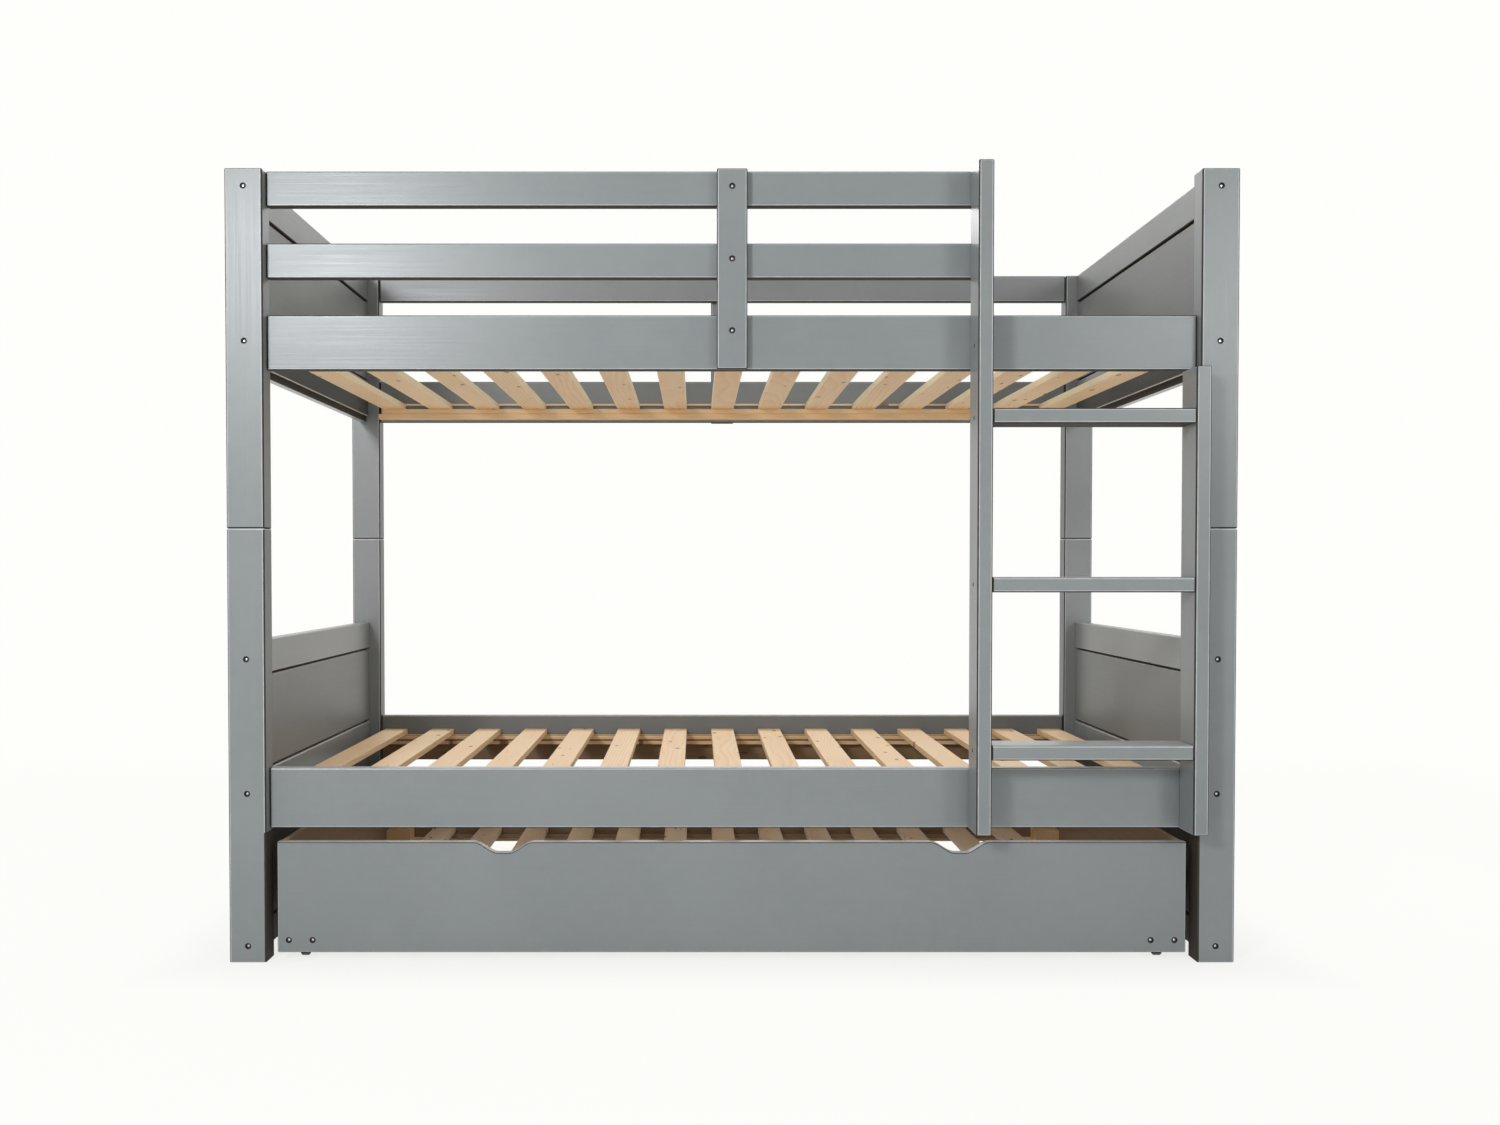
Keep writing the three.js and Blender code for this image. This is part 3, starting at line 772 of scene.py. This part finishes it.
def fasten(board, cad_node, places, kind="bolt", name=None, line=rounding_shade, wear=rounding_highlight_and_wear):
    """Drill a board at each (point, way out), and set a bolt or screw in each recess."""
    pattern, tool, seat = FASTENINGS[kind]
    shallow, deep, wide = RECESS_REACH
    heads = []
    for point, way in places:
        normal, turn = WAYS[way]
        cut(board, twin(tool, "drill_copy", point, turn))
        seat_point = Vector(point) - normal * (seat - SEAT_LIFT)
        heads.append(twin(pattern, "head_copy", seat_point, turn))

    def in_recess(face):
        for point, way in places:
            off, normal = face.center - Vector(point), WAYS[way][0]
            depth = -off.dot(normal)
            if shallow < depth < deep and (off + normal * depth).length < wide:
                return True
        return False

    # Painted deep shade on the walls of each recess, with no wear or highlight there.
    mark_faces(board, joint_line=lambda face: 1.0 if in_recess(face) else line(face),
               eased_edge=lambda face: 0.0 if in_recess(face) else wear(face))
    heads = join(name or f"{cad_node}_{kind}s", *heads)
    hand_over(heads, "fitted", body=body_of(cad_node), degrees=32)


# ---- posts

POST_EDGE = 4.0 * MM
POST_END_EDGE = 2.5 * MM
POST_INNER_SHADE = 0.28
DOWEL_RADIUS = 8.0 * MM
DOWEL_ROOT, DOWEL_TOP = 0.860, 0.910
DOWEL_CHAMFER = 1.5 * MM
BORE_OVERCUT = 1.2 * MM
SPLIT_GAP = 0.3 * MM
RAIL_BOLT_SPREAD = 27 * MM
FACE_BOLT_HEIGHTS = {"lower": (0.033, 0.340, 0.610), "upper": (1.245, 1.552)}
RAIL_BOLT_HEIGHTS = {
    "lower": (0.328 - RAIL_BOLT_SPREAD, 0.328 + RAIL_BOLT_SPREAD),
    "upper": (1.245 - RAIL_BOLT_SPREAD, 1.245 + RAIL_BOLT_SPREAD, 1.4085, 1.552)}
RAIL_BOLT_INSET = 36 * MM
TRUNDLE_SHADE_TOP = 0.262


def make_post(side, end, level):
    cad_node = f"{side}_{end}_{level}_post"
    low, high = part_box(cad_node)
    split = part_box(f"{side}_{end}_upper_post")[0].z
    is_lower = level == "lower"
    if is_lower:
        high.z = split - SPLIT_GAP
    middle_x, middle_y = (low.x + high.x) / 2, (low.y + high.y) / 2
    post = eased_block(cad_node + "_painted", Z, low, high, POST_EDGE, POST_END_EDGE)
    dowel_centre = (middle_x, middle_y, (DOWEL_ROOT + DOWEL_TOP) / 2)
    length = DOWEL_TOP - DOWEL_ROOT
    if is_lower:
        dowel = rod("dowel", dowel_centre, DOWEL_RADIUS, length)
        weld(post, bevel_corners(dowel, DOWEL_CHAMFER, 2, 30))
    else:
        cut(post, rod("bore", dowel_centre, DOWEL_RADIUS + SPLIT_GAP, length + BORE_OVERCUT))
    face_y = outer(low, high, SIDES[side]).y
    outer_x = outer(low, high, ENDS[end]).x
    rail_y = face_y - SIDES[side] * RAIL_BOLT_INSET
    places = [((middle_x, face_y, height), side) for height in FACE_BOLT_HEIGHTS[level]]
    places += [((outer_x, rail_y, height), end) for height in RAIL_BOLT_HEIGHTS[level]]
    inward = -ENDS[end]
    beside_trundle = is_lower and side == "front"
    if beside_trundle:
        slice_board(post, Z, TRUNDLE_SHADE_TOP)

    def at_split(face):
        return abs(face.center.z - split) < POST_END_EDGE and squareness(face) < FLAT

    def by_trundle(face):
        return (beside_trundle and looks(face, X, inward, LEANING)
                and face.center.z < TRUNDLE_SHADE_TOP)

    def line(face):
        """Painted shade: dark above the split and beside the trundle."""
        if at_split(face):
            return float(not is_lower)
        return 1.0 if by_trundle(face) else rounding_shade(face)

    def wear(face):
        """A painted highlight below the split."""
        return float(is_lower) if at_split(face) else rounding_highlight_and_wear(face)

    fasten(post, cad_node, places, line=line, wear=wear)
    # Painted shade under the post and on its face towards the bed.
    mark_faces(post, thin_coat=inner_face_shade(X, inward, POST_INNER_SHADE))
    hand_over(post, "paint_z", cad_node)


for side, end in CORNERS:
    make_post(side, end, "lower")
    make_post(side, end, "upper")


# ---- bed ends

END_EDGE = 2.5 * MM
PANEL_EDGE = 1.2 * MM
PANEL_END_EDGE = 2.0 * MM
PANEL_REVEAL = 5 * MM
TONGUE_THICKNESS = 8 * MM
TONGUE_DEPTH = 9 * MM
TONGUE_FIT = 0.3 * MM
TONGUE_INSET = 0.05 * MM
TONGUE_CHAMFER = 0.5 * MM
REBATE_HEIGHT = 14 * MM
REBATE_DEPTH = 6 * MM
REBATE_HIGHLIGHT = 3 * MM
REBATE_PLAY = 0.1 * MM
DECK_SHADE = 20 * MM
SHADED_LINE = 0.5
# Painted shade on the faces towards the bed.
INNER_SHADES = {"upper_end_top_rail": 0.33, "upper_end_panel": 0.44, "lower_end_panel": 0.24}


def cut_rebate(rail, low, high, inward):
    """Step the lower inner edge of a rail back, with painted deep shade inside and a painted
    highlight strip above it.

    Above the strip, the inner face is painted with the upper deck's shade."""
    step = low.z + REBATE_HEIGHT
    strip_top = step + REBATE_HIGHLIGHT
    shade_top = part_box("upper_slat_deck")[1].z + DECK_SHADE
    inner_x = outer(low, high, inward).x
    near, far = sorted((inner_x - inward * REBATE_DEPTH, inner_x + inward * MM))
    cut(rail, block("rebate", (near, low.y - MM, low.z - MM), (far, high.y + MM, step)))
    slice_board(rail, Z, strip_top)
    slice_board(rail, Z, shade_top)

    def in_shade(face):
        return looks(face, X, inward) and face.center.z < shade_top

    def in_strip(face):
        return looks(face, X, inward) and step < face.center.z < strip_top

    def in_rebate(face):
        height = face.center.z - step
        roof = faces_down(face) and height > -REBATE_PLAY
        return height < REBATE_PLAY and (looks(face, X, inward) or roof)

    # A painted highlight on the strip, and edge wear with painted highlight elsewhere.
    def wear(face):
        if in_strip(face):
            return 1.0
        return LOW_HIGHLIGHT_AND_WEAR if faces_down(face) else rounding_highlight_and_wear(face)

    # Painted deep shade in the rebate and on the ends, and more painted shade in the deck's shade.
    def line(face):
        if in_rebate(face) or abs(face.normal.y) > LEANING:
            return 1.0
        if in_shade(face):
            return 0.0 if face.center.z < strip_top else SHADED_LINE
        return rounding_shade(face)

    mark_faces(rail, thin_coat=lambda face: in_shade(face) and not in_strip(face),
               eased_edge=wear, joint_line=line)


def make_end_rail(end, part, *grooves):
    cad_node = f"{end}_{part}"
    rail, low, high = board_for(cad_node, Y, END_EDGE, END_EDGE)
    middle = (low.x + high.x) / 2
    half = TONGUE_THICKNESS / 2 + TONGUE_FIT
    bite = TONGUE_DEPTH + TONGUE_FIT
    for groove in grooves:
        level = high.z if groove == "above" else low.z
        cut(rail, block("groove", (middle - half, low.y - bite, level - bite),
                        (middle + half, high.y + bite, level + bite)))
    inward = -ENDS[end]
    # Painted shade on the rebated rail, under and inside the lowest rails, and under and towards
    # the bed on the rest.
    if part == "upper_end_bottom_rail":
        cut_rebate(rail, low, high, inward)
    elif part == "lower_end_bottom_rail":
        mark_faces(rail, thin_coat=lambda face: (
            faces_down(face) or looks(face, X, inward, LEANING)))
    else:
        mark_faces(rail, thin_coat=inner_face_shade(X, inward, INNER_SHADES.get(part, 0.0)))
    # Painted deep shade under the upper end's top rail, in its wide reveal.
    wide_reveal = part == "upper_end_top_rail"
    hand_over(rail, "paint_y", cad_node, butted=Y,
              line=lambda face: wide_reveal and looks(face, Z, -1, LEANING))


def make_end_panel(end, part):
    cad_node = f"{end}_{part}"
    low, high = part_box(cad_node)
    shoulder = Vector((0, 0, PANEL_REVEAL + TONGUE_DEPTH))
    board_high = high - shoulder
    panel = eased_block(cad_node + "_painted", Y, low + shoulder, board_high, PANEL_EDGE,
                        PANEL_END_EDGE)
    middle = (low.x + high.x) / 2
    half = TONGUE_THICKNESS / 2
    tongue = block("tongue", (middle - half, low.y + TONGUE_INSET, low.z),
                   (middle + half, high.y - TONGUE_INSET, high.z))
    weld(panel, bevel_corners(tongue, TONGUE_CHAMFER, degrees=30))
    inward = -ENDS[end]
    # Painted shade on the panel's face towards the bed, and under every panel but the base one.
    if part == "lower_end_base_panel":
        mark_faces(panel, thin_coat=lambda face: looks(face, X, inward, LEANING))
    else:
        mark_faces(panel, thin_coat=inner_face_shade(X, inward, INNER_SHADES[part]))

    def line(face):
        """Painted deep shade on the tongue, and on the top rounding under a wide reveal."""
        on_top = looks(face, Z, 1, LEANING) and face.center.z > board_high.z - 2 * PANEL_EDGE
        on_tongue = abs(face.normal.x) > STRAIGHT and abs(face.center.x - middle) < half + MM
        return (part == "upper_end_panel" and on_top) or on_tongue

    hand_over(panel, "paint_y", cad_node, butted=Y, line=line)


for end in ENDS:
    make_end_rail(end, "lower_end_bottom_rail", "above")
    make_end_panel(end, "lower_end_base_panel")
    make_end_rail(end, "lower_end_middle_rail", "above", "below")
    make_end_panel(end, "lower_end_panel")
    make_end_rail(end, "lower_end_top_rail", "below")
    make_end_rail(end, "upper_end_bottom_rail", "above")
    make_end_panel(end, "upper_end_panel")
    make_end_rail(end, "upper_end_top_rail", "below")


# ---- rails, guards, supports, ledgers

RAIL_EDGE = 3.5 * MM
SUPPORT_END_EDGE = 2.5 * MM
LEDGER_EDGE = {"lower": 2.0 * MM, "upper": 0.8 * MM}
LEDGER_END_EDGE = 0.8 * MM
SUPPORT_BOLT_HEIGHTS = (1.266, 1.4085, 1.552)
LOWER_RAIL_TOP_REFLECTION = 0.5
BACK_RAIL_SHADE = 0.44
BARE_STRIP_SHADE = 0.78


def leave_strip_bare(rail):
    """Leave the strip of the back rail's inner face below its ledger unpainted, as pine in painted
    deep shade.
    """
    ledger_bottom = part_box("back_lower_ledger")[0].z

    def unpainted(face):
        return looks(face, Y, -1) and face.center.z < ledger_bottom

    slice_board(rail, Z, ledger_bottom)
    # Painted shade on the rest of the inner face and under the rail.
    mark_faces(rail, thin_coat=inner_face_shade(Y, -1, BACK_RAIL_SHADE))
    hand_over(rail, "paint_x", "back_lower_side_rail", butted=X,
              line=lambda face: BARE_STRIP_SHADE * unpainted(face))
    rail.data.materials.append(MATERIALS["pine_x_upright"])
    for face in rail.data.polygons:
        face.material_index = int(unpainted(face))


def make_rail(side, row):
    cad_node = f"{side}_{row}"
    rail, _, _ = board_for(cad_node, X, RAIL_EDGE, RAIL_EDGE)
    if row == "lower_side_rail":
        # A painted reflection on the tops of the lower rails.
        mark_faces(rail, eased_edge=lambda face: (
            LOWER_RAIL_TOP_REFLECTION if looks(face, Z, least=FLAT) else rounding_highlight_and_wear(face)))
    if cad_node == "back_lower_side_rail":
        leave_strip_bare(rail)
    else:
        hand_over(rail, "paint_x", cad_node, butted=X)


def make_support(side):
    cad_node = f"{side}_centre_support"
    support, low, high = board_for(cad_node, Z, RAIL_EDGE, SUPPORT_END_EDGE)
    face_y = outer(low, high, SIDES[side]).y
    places = [((0, face_y, height), side) for height in SUPPORT_BOLT_HEIGHTS]
    fasten(support, cad_node, places)
    hand_over(support, "paint_z", cad_node)


def make_ledger(side, level):
    cad_node = f"{side}_{level}_ledger"
    ledger = eased_block(
        cad_node + "_pine", X, *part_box(cad_node), LEDGER_EDGE[level], LEDGER_END_EDGE, 2)
    if level == "lower":
        # Painted deep shade on the roundings of the lower ledgers.
        mark_faces(ledger, joint_line=lambda face: squareness(face) < FLAT)
    hand_over(ledger, "pine_x", cad_node)


for side in SIDES:
    for row in ("lower_side_rail", "upper_side_rail", "middle_guard_rail", "top_guard_rail"):
        make_rail(side, row)
    make_support(side)
    make_ledger(side, "lower")
    make_ledger(side, "upper")


# ---- ladder

STILE_EDGE = 4.0 * MM
STILE_END_EDGE = 2.5 * MM
RUNG_END_EDGE = 2.0 * MM
STILE_SCREW_HEIGHTS = (0.430, 0.760, 1.0895, 1.232)

for end in ENDS:
    cad_node = f"ladder_{end}_stile"
    stile, low, high = board_for(cad_node, Z, STILE_EDGE, STILE_END_EDGE)
    if end == "left":
        middle_y = (low.y + high.y) / 2
        places = [((low.x, middle_y, height), "left") for height in STILE_SCREW_HEIGHTS]
        fasten(stile, cad_node, places, "screw")
    hand_over(stile, "paint_z", cad_node)

for rung_number in (1, 2, 3):
    cad_node = f"ladder_rung_{rung_number}"
    rung, _, _ = board_for(cad_node, X, STILE_EDGE, RUNG_END_EDGE)
    hand_over(rung, "paint_x", cad_node, butted=X)


# ---- slat decks

BATTEN_HEIGHT = 13 * MM
BATTEN_DEPTH = 20 * MM
BATTEN_OVERHANG = 1.5 * MM
BATTEN_EDGE = 1.2 * MM
TRUNDLE_BATTEN_SHADE = 0.8
SLAT_EDGE = 2.0 * MM
SLAT_END_EDGE = 0.8 * MM
SLAT_SEAT = 0.05 * MM
NAIL_RADIUS = 2.1 * MM
NAIL_LENGTH, NAIL_CENTRE = 0.9 * MM, -0.3 * MM
NAIL_CHAMFER = 0.3 * MM
NAIL_SINK = 0.1 * MM
NAIL_SHIFT = 0.27
SPACER_HALF, SPACER_HEIGHT = 5 * MM, 5 * MM
SPACER_DROP, SPACER_PLAY = 0.2 * MM, 0.1 * MM
SPACER_EDGE, SPACER_END_EDGE = 0.5 * MM, 0.3 * MM


def make_nail():
    nail = rod("nail", (0, 0, NAIL_CENTRE), NAIL_RADIUS, NAIL_LENGTH, Z, sides=12)
    return bevel_corners(nail, NAIL_CHAMFER)


nail_pattern = make_nail()


def make_batten(cad_node, side, low, high):
    batten = eased_block(f"{cad_node}_{side}_batten", X, low, high, BATTEN_EDGE, BATTEN_EDGE, 2)
    # Except on the upper deck, painted deep shade on the roundings, and painted shade on the
    # trundle battens' faces.
    shade_share = TRUNDLE_BATTEN_SHADE if cad_node == "trundle_slat_deck" else 0.0
    if cad_node != "upper_slat_deck":
        mark_faces(batten, joint_line=lambda face: (
            1.0 if squareness(face) < FLAT else shade_share * (abs(face.normal.x) < STRAIGHT)))
    hand_over(batten, "pine_x", cad_node)


def make_deck(cad_node, count, width, first, finish="pine_y", spaced=False):
    """Slats across the bed, nailed down on two battens, and where spaced, spaced by short blocks.
    """
    low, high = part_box(cad_node)
    pitch = -2 * first / (count - 1)
    centres = [first + i * pitch for i in range(count)]
    pattern = eased_block(
        cad_node + "_slat_pattern", Y,
        (first - width / 2, low.y, low.z + BATTEN_HEIGHT + SLAT_SEAT),
        (first + width / 2, high.y, high.z), SLAT_EDGE, SLAT_END_EDGE, 2)
    # Painted light on the sides of the upper deck's slats.
    if spaced:
        mark_faces(pattern, planed_side=lambda face: abs(face.normal.x) > TILTED)
    for i in range(count):
        slat = twin(pattern, f"{cad_node}_slat_{i + 1:02d}", (i * pitch, 0, 0))
        hand_over(slat, finish, cad_node)
    discard(pattern)
    reach = -first + width / 2 + BATTEN_OVERHANG
    rows = {"front": (low.y, low.y + BATTEN_DEPTH), "back": (high.y - BATTEN_DEPTH, high.y)}
    for side, (near, far) in rows.items():
        make_batten(cad_node, side, (-reach, near, low.z), (reach, far, low.z + BATTEN_HEIGHT))
    nails = [twin(nail_pattern, "nail_copy",
                  (centre + shift * width, (near + far) / 2, high.z - NAIL_SINK))
             for near, far in rows.values() for centre in centres
             for shift in (-NAIL_SHIFT, NAIL_SHIFT)]
    hand_over(join(cad_node + "_nails", *nails), "nail", body=body_of(cad_node))
    for side, (near, far) in rows.items() if spaced else ():
        middle = (near + far) / 2
        spacers = []
        for centre in centres[:-1]:
            start = centre + width / 2 + SPACER_PLAY
            stop = start + pitch - width - 2 * SPACER_PLAY
            spacers.append(eased_block(
                "spacer", X, (start, middle - SPACER_HALF, high.z - SPACER_HEIGHT),
                (stop, middle + SPACER_HALF, high.z - SPACER_DROP),
                SPACER_EDGE, SPACER_END_EDGE, 1))
        hand_over(join(f"{cad_node}_{side}_spacers", *spacers), "pine_x", cad_node)


SLAT_WIDTH = 61 * MM
TRUNDLE_SLAT_WIDTH = 59 * MM
make_deck("lower_slat_deck", 15, SLAT_WIDTH, -0.8925)
make_deck("upper_slat_deck", 15, SLAT_WIDTH, -0.8925, spaced=True)
make_deck("trundle_slat_deck", 13, TRUNDLE_SLAT_WIDTH, -0.7555, "pine_y_dull")


# ---- trundle

CUT_OUT_X = 0.461
CUT_OUT_HALF = 60.5 * MM
CUT_OUT_FLOOR = 10 * MM
CUT_OUT_DEPTH = 22 * MM
CUT_OUT_STEPS = 12
FRONT_EDGE = 2.5 * MM
FRONT_TURN = 0.6
FRONT_TOP_HIGHLIGHT = 0.9
TRUNDLE_BOLT_X = (0.8467, 0.8947)
TRUNDLE_BOLT_HEIGHT = 0.041
TRUNDLE_BACK_LIP = 12 * MM
BOARD_EDGE, BOARD_END_EDGE = 1.5 * MM, 0.8 * MM
BOARD_TOP_SHADE = 0.5
BACK_INNER_SHADE, SIDE_INNER_SHADE = 0.84, 0.78


def cut_out_curve():
    """Half of a cut-out's top edge: (distance from its centre, drop) from floor to rim."""
    shares = [i / CUT_OUT_STEPS for i in range(CUT_OUT_STEPS + 1)]
    return [(CUT_OUT_FLOOR + t * (CUT_OUT_HALF - CUT_OUT_FLOOR),
             CUT_OUT_DEPTH * (1 - t * t * (3 - 2 * t))) for t in shares]


def front_shade(face):
    """Painted shade: dark above on the facets that turn to the front, and below on all but the
    palest.
    """
    lean = abs(face.normal.y)
    upper = FRONT_TURN < lean < FLAT and face.normal.z > LEANING
    lower = FRONT_ROUNDING < lean < BESIDE_FLAT and face.normal.z < LEANING
    return SIDE_SHADE * (upper or lower)


# A painted highlight on the top, and edge wear with painted highlight beside the front face.
def front_highlight_and_wear(face):
    if face.normal.z > TILTED:
        return FRONT_TOP_HIGHLIGHT
    return EDGE_HIGHLIGHT_AND_WEAR * (BESIDE_FLAT < abs(face.normal.y) < FLAT)


def make_trundle_front():
    cad_node = "trundle_front_panel"
    low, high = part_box(cad_node)
    size = high - low
    panel = add(cad_node + "_painted", bpy.ops.mesh.primitive_plane_add, size=1,
                location=(0, low.y, (low.z + high.z) / 2), rotation=(math.pi / 2, 0, 0))
    panel.scale = (size.x, size.z, 1)
    settle(panel)
    columns = [(side * CUT_OUT_X + hand * across, drop)
               for side in (-1, 1) for hand in (-1, 1) for across, drop in cut_out_curve()]
    for x, _ in columns:
        slice_board(panel, X, x)
    for x, drop in columns:
        if drop < NEAR:
            continue
        select_parts(panel, "VERT", lambda point: (
            abs(point.co.x - x) < NEAR and point.co.z > high.z - NEAR))
        bpy.ops.transform.translate(value=(0, 0, -drop))
        mode("OBJECT")
    toward_back = panel.data.polygons[0].normal.y < 0
    modify(panel, "SOLIDIFY", thickness=size.y, offset=-1 if toward_back else 1)
    bevel_corners(panel, FRONT_EDGE, 4, 40)
    places = [((end * x, low.y, TRUNDLE_BOLT_HEIGHT), "front")
              for end in (-1, 1) for x in TRUNDLE_BOLT_X]
    fasten(panel, cad_node, places, name="trundle_front_bolts", line=front_shade, wear=front_highlight_and_wear)
    hand_over(panel, "paint_x", cad_node)


def make_trundle_board(cad_node, along, finish, inside, inner_shade):
    """One of the three plain boards; the back one reaches below the slat deck."""
    low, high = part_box(cad_node)
    deck_bottom = low.z
    if along == X:
        low.z -= TRUNDLE_BACK_LIP
    board = eased_block(cad_node + "_pine", along, low, high, BOARD_EDGE, BOARD_END_EDGE, 2)
    slice_board(board, Z, deck_bottom)

    def line(face):
        if face.center.z < deck_bottom:
            return 0.0
        if face.normal.dot(Vector(inside)) > TILTED:
            return inner_shade
        return BOARD_TOP_SHADE * (face.normal.z > TILTED)

    mark_faces(board, joint_line=line)
    hand_over(board, finish, cad_node)


make_trundle_front()
make_trundle_board("trundle_back_board", X, "pine_x_upright", (0, -1, 0), BACK_INNER_SHADE)
for end, sign in ENDS.items():
    make_trundle_board(
        f"trundle_{end}_side_board", Y, "pine_y_upright", (-sign, 0, 0), SIDE_INNER_SHADE)

for side, end in CORNERS:
    give_material(frame["nodes"][f"{side}_{end}_caster_block"], "pine_y")


# ---- casters

WHEEL_RADIUS = 20 * MM
WHEEL_HALF = 7.5 * MM
WHEEL_BORE = 3.1 * MM
TREAD_ROUNDING = 2.0 * MM
RIM_WIDTH, WEB_WIDTH = 3.2 * MM, 7.0 * MM
DISH_DEPTH = 1.6 * MM
DISH_TAPER, HUB_TAPER = 0.96, 0.95


def make_wheel():
    """A moulded wheel about X at the origin: crowned tread, dished sides, hub and bore."""
    wheel = rod("wheel_pattern", (0, 0, 0), WHEEL_RADIUS, 2 * WHEEL_HALF, X, sides=56)
    for way in (-1, 1):
        select_parts(wheel, "FACE", lambda face: (
            looks(face, X, way) and face.center.x * way > 0 and len(face.vertices) > 8))
        bpy.ops.mesh.inset(thickness=RIM_WIDTH)
        push_out((-way * DISH_DEPTH, 0, 0), (1, DISH_TAPER, DISH_TAPER))
        bpy.ops.mesh.inset(thickness=WEB_WIDTH)
        push_out((way * DISH_DEPTH, 0, 0), (1, HUB_TAPER, HUB_TAPER))

    def on_rim(edge):
        first, last = (wheel.data.vertices[v].co for v in edge.vertices)
        inmost = min(math.hypot(co.y, co.z) for co in (first, last))
        return inmost > WHEEL_RADIUS - NEAR and abs(first.x - last.x) < NEAR

    select_parts(wheel, "EDGE", on_rim)
    bpy.ops.mesh.bevel(offset=TREAD_ROUNDING, segments=4, affect="EDGES")
    mode("OBJECT")
    return cut(wheel, rod("bore", (0, 0, 0), WHEEL_BORE, 4 * WHEEL_HALF, X, sides=24))


wheel_pattern = make_wheel()
for side, end in CORNERS:
    cad_node = f"{side}_{end}_caster_wheel"
    low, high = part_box(cad_node)
    wheel = twin(wheel_pattern, cad_node + "_moulded", (low + high) / 2)
    hand_over(wheel, "wheel", cad_node, degrees=30)

for pattern, tool, _ in FASTENINGS.values():
    discard(pattern)
    discard(tool)
discard(wheel_pattern)
discard(nail_pattern)


# ---- studio

WHITE = (0.991, 0.991, 0.968, 1)
BRIGHT_PAPER = (1, 1, 0.98, 1)
FLOOR_PAPER = (0.88, 0.88, 0.86, 1)
SHADED_PAPER = (0.36, 0.35, 0.33, 1)
FOOTPRINT = (1.0, 0.50)
SOFT_LIGHT = 0.25
COOL, NEUTRAL = (0.96, 0.975, 1.0), (1, 1, 1)
# Of each lamp its place, target, size, power and tint.
LAMPS = {
    "left_softbox": ((-1.66, -3.6, 2.1), (-0.7, -0.5, 1.3), (0.6, 0.6), 61, COOL),
    "right_softbox": ((2.3, -3.6, 1.9), (0.6, -0.5, 1.1), (0.7, 0.7), 26, COOL),
    "low_softbox": ((0, -4.8, 0.4), (0, -0.5, 0.3), (4.5, 0.8), 23, NEUTRAL),
    "side_softbox": ((-4.5, -1.0, 2.2), (0, 0, 0.9), (2.0, 2.4), 12, NEUTRAL),
    "back_softbox": ((0, 4.5, 3.6), (0, 0, 0.8), (4.0, 2.0), 88, NEUTRAL),
    "right_end_softbox": ((2.1, 0.1, 0.95), (0, 0.05, 0.85), (1.8, 1.6), 6, NEUTRAL),
    "left_end_softbox": ((-3.2, 0.2, 0.95), (-1.0, 0.2, 0.85), (1.8, 1.6), 9, NEUTRAL),
    "top_softbox": ((0, 0.6, 4.2), (0, 0.2, 0), (3.6, 2.0), 26, NEUTRAL),
}
CAMERA_PLACE = (-0.0722, -3.33865, 0.7939)
CAMERA_TILT = math.pi / 2 - 0.0222
LENS_LENGTH, SENSOR_WIDTH = 33.93, 36
LENS_SHIFT = (0.03607, 0.02421)


def background_rays(tree):
    """One for the rays that see the background plainly: camera, glossy and transmission."""
    rays = node(tree, "LightPath").outputs
    seen = largest(rays["Is Camera Ray"], rays["Is Glossy Ray"])
    return largest(seen, rays["Is Transmission Ray"])


def empty_tree(owner):
    owner.use_nodes = True
    owner.node_tree.nodes.clear()
    return owner.node_tree


def make_world():
    world = bpy.data.worlds.new("white studio")
    scene.world = world
    tree = empty_tree(world)
    plain = node(tree, "Background", {"Color": WHITE}).outputs[0]
    soft = node(tree, "Background", {"Color": WHITE, "Strength": SOFT_LIGHT}).outputs[0]
    shown = node(tree, "MixShader", {0: background_rays(tree), 1: soft, 2: plain}).outputs[0]
    node(tree, "OutputWorld", {"Surface": shown})


def make_floor():
    """White paper that glows away from the bed, and takes its shadow below it."""
    floor = add("studio_floor", bpy.ops.mesh.primitive_plane_add, size=40, location=(0, 0, 0))
    material = bpy.data.materials.new("white floor")
    tree = empty_tree(material)
    bright_paper = node(tree, "BsdfDiffuse", {"Color": BRIGHT_PAPER}).outputs[0]
    glow = node(tree, "Emission", {"Color": WHITE}).outputs[0]
    parts = axes(node(tree, "TexCoord").outputs["Object"])
    beyond = [minus(size_of(parts[axis]), FOOTPRINT[axis]) for axis in (X, Y)]
    away = largest(*beyond)
    under_bed = ramp(away, -0.12, 0.12)
    paper_colour = mixed(under_bed, SHADED_PAPER, FLOOR_PAPER)
    paper = node(tree, "BsdfDiffuse", {"Color": paper_colour}).outputs[0]
    near_share = ramp(away, 0.0, 0.24, 0.80, 0.955)
    white_share = plus(near_share, ramp(away, 1.2, 2.2, 0.0, 0.045))
    lit = node(tree, "MixShader", {0: white_share, 1: bright_paper, 2: glow}).outputs[0]
    shown = node(tree, "MixShader", {0: background_rays(tree), 1: paper, 2: lit}).outputs[0]
    node(tree, "OutputMaterial", {"Surface": shown})
    floor.data.materials.append(material)


def set_up(name, data, place, turn):
    made = bpy.data.objects.new(name, data)
    scene.collection.objects.link(made)
    made.location = place
    made.rotation_euler = turn
    return made


def soft_lamp(name, place, target, size, power, tint):
    lamp = bpy.data.lights.new(name, "AREA")
    lamp.shape = "RECTANGLE"
    lamp.size, lamp.size_y = size
    lamp.energy = power
    lamp.color = tint
    aim = (Vector(target) - Vector(place)).to_track_quat("-Z", "Y").to_euler()
    set_up(name, lamp, place, aim).visible_camera = False


def make_camera():
    lens = bpy.data.cameras.new("camera")
    lens.sensor_fit = "HORIZONTAL"
    lens.sensor_width = SENSOR_WIDTH
    lens.lens = LENS_LENGTH
    lens.shift_x, lens.shift_y = LENS_SHIFT
    scene.camera = set_up("camera", lens, CAMERA_PLACE, (CAMERA_TILT, 0, 0))


make_world()
make_floor()
for name, settings in LAMPS.items():
    soft_lamp(name, *settings)
make_camera()
scene.view_settings.view_transform = "Standard"
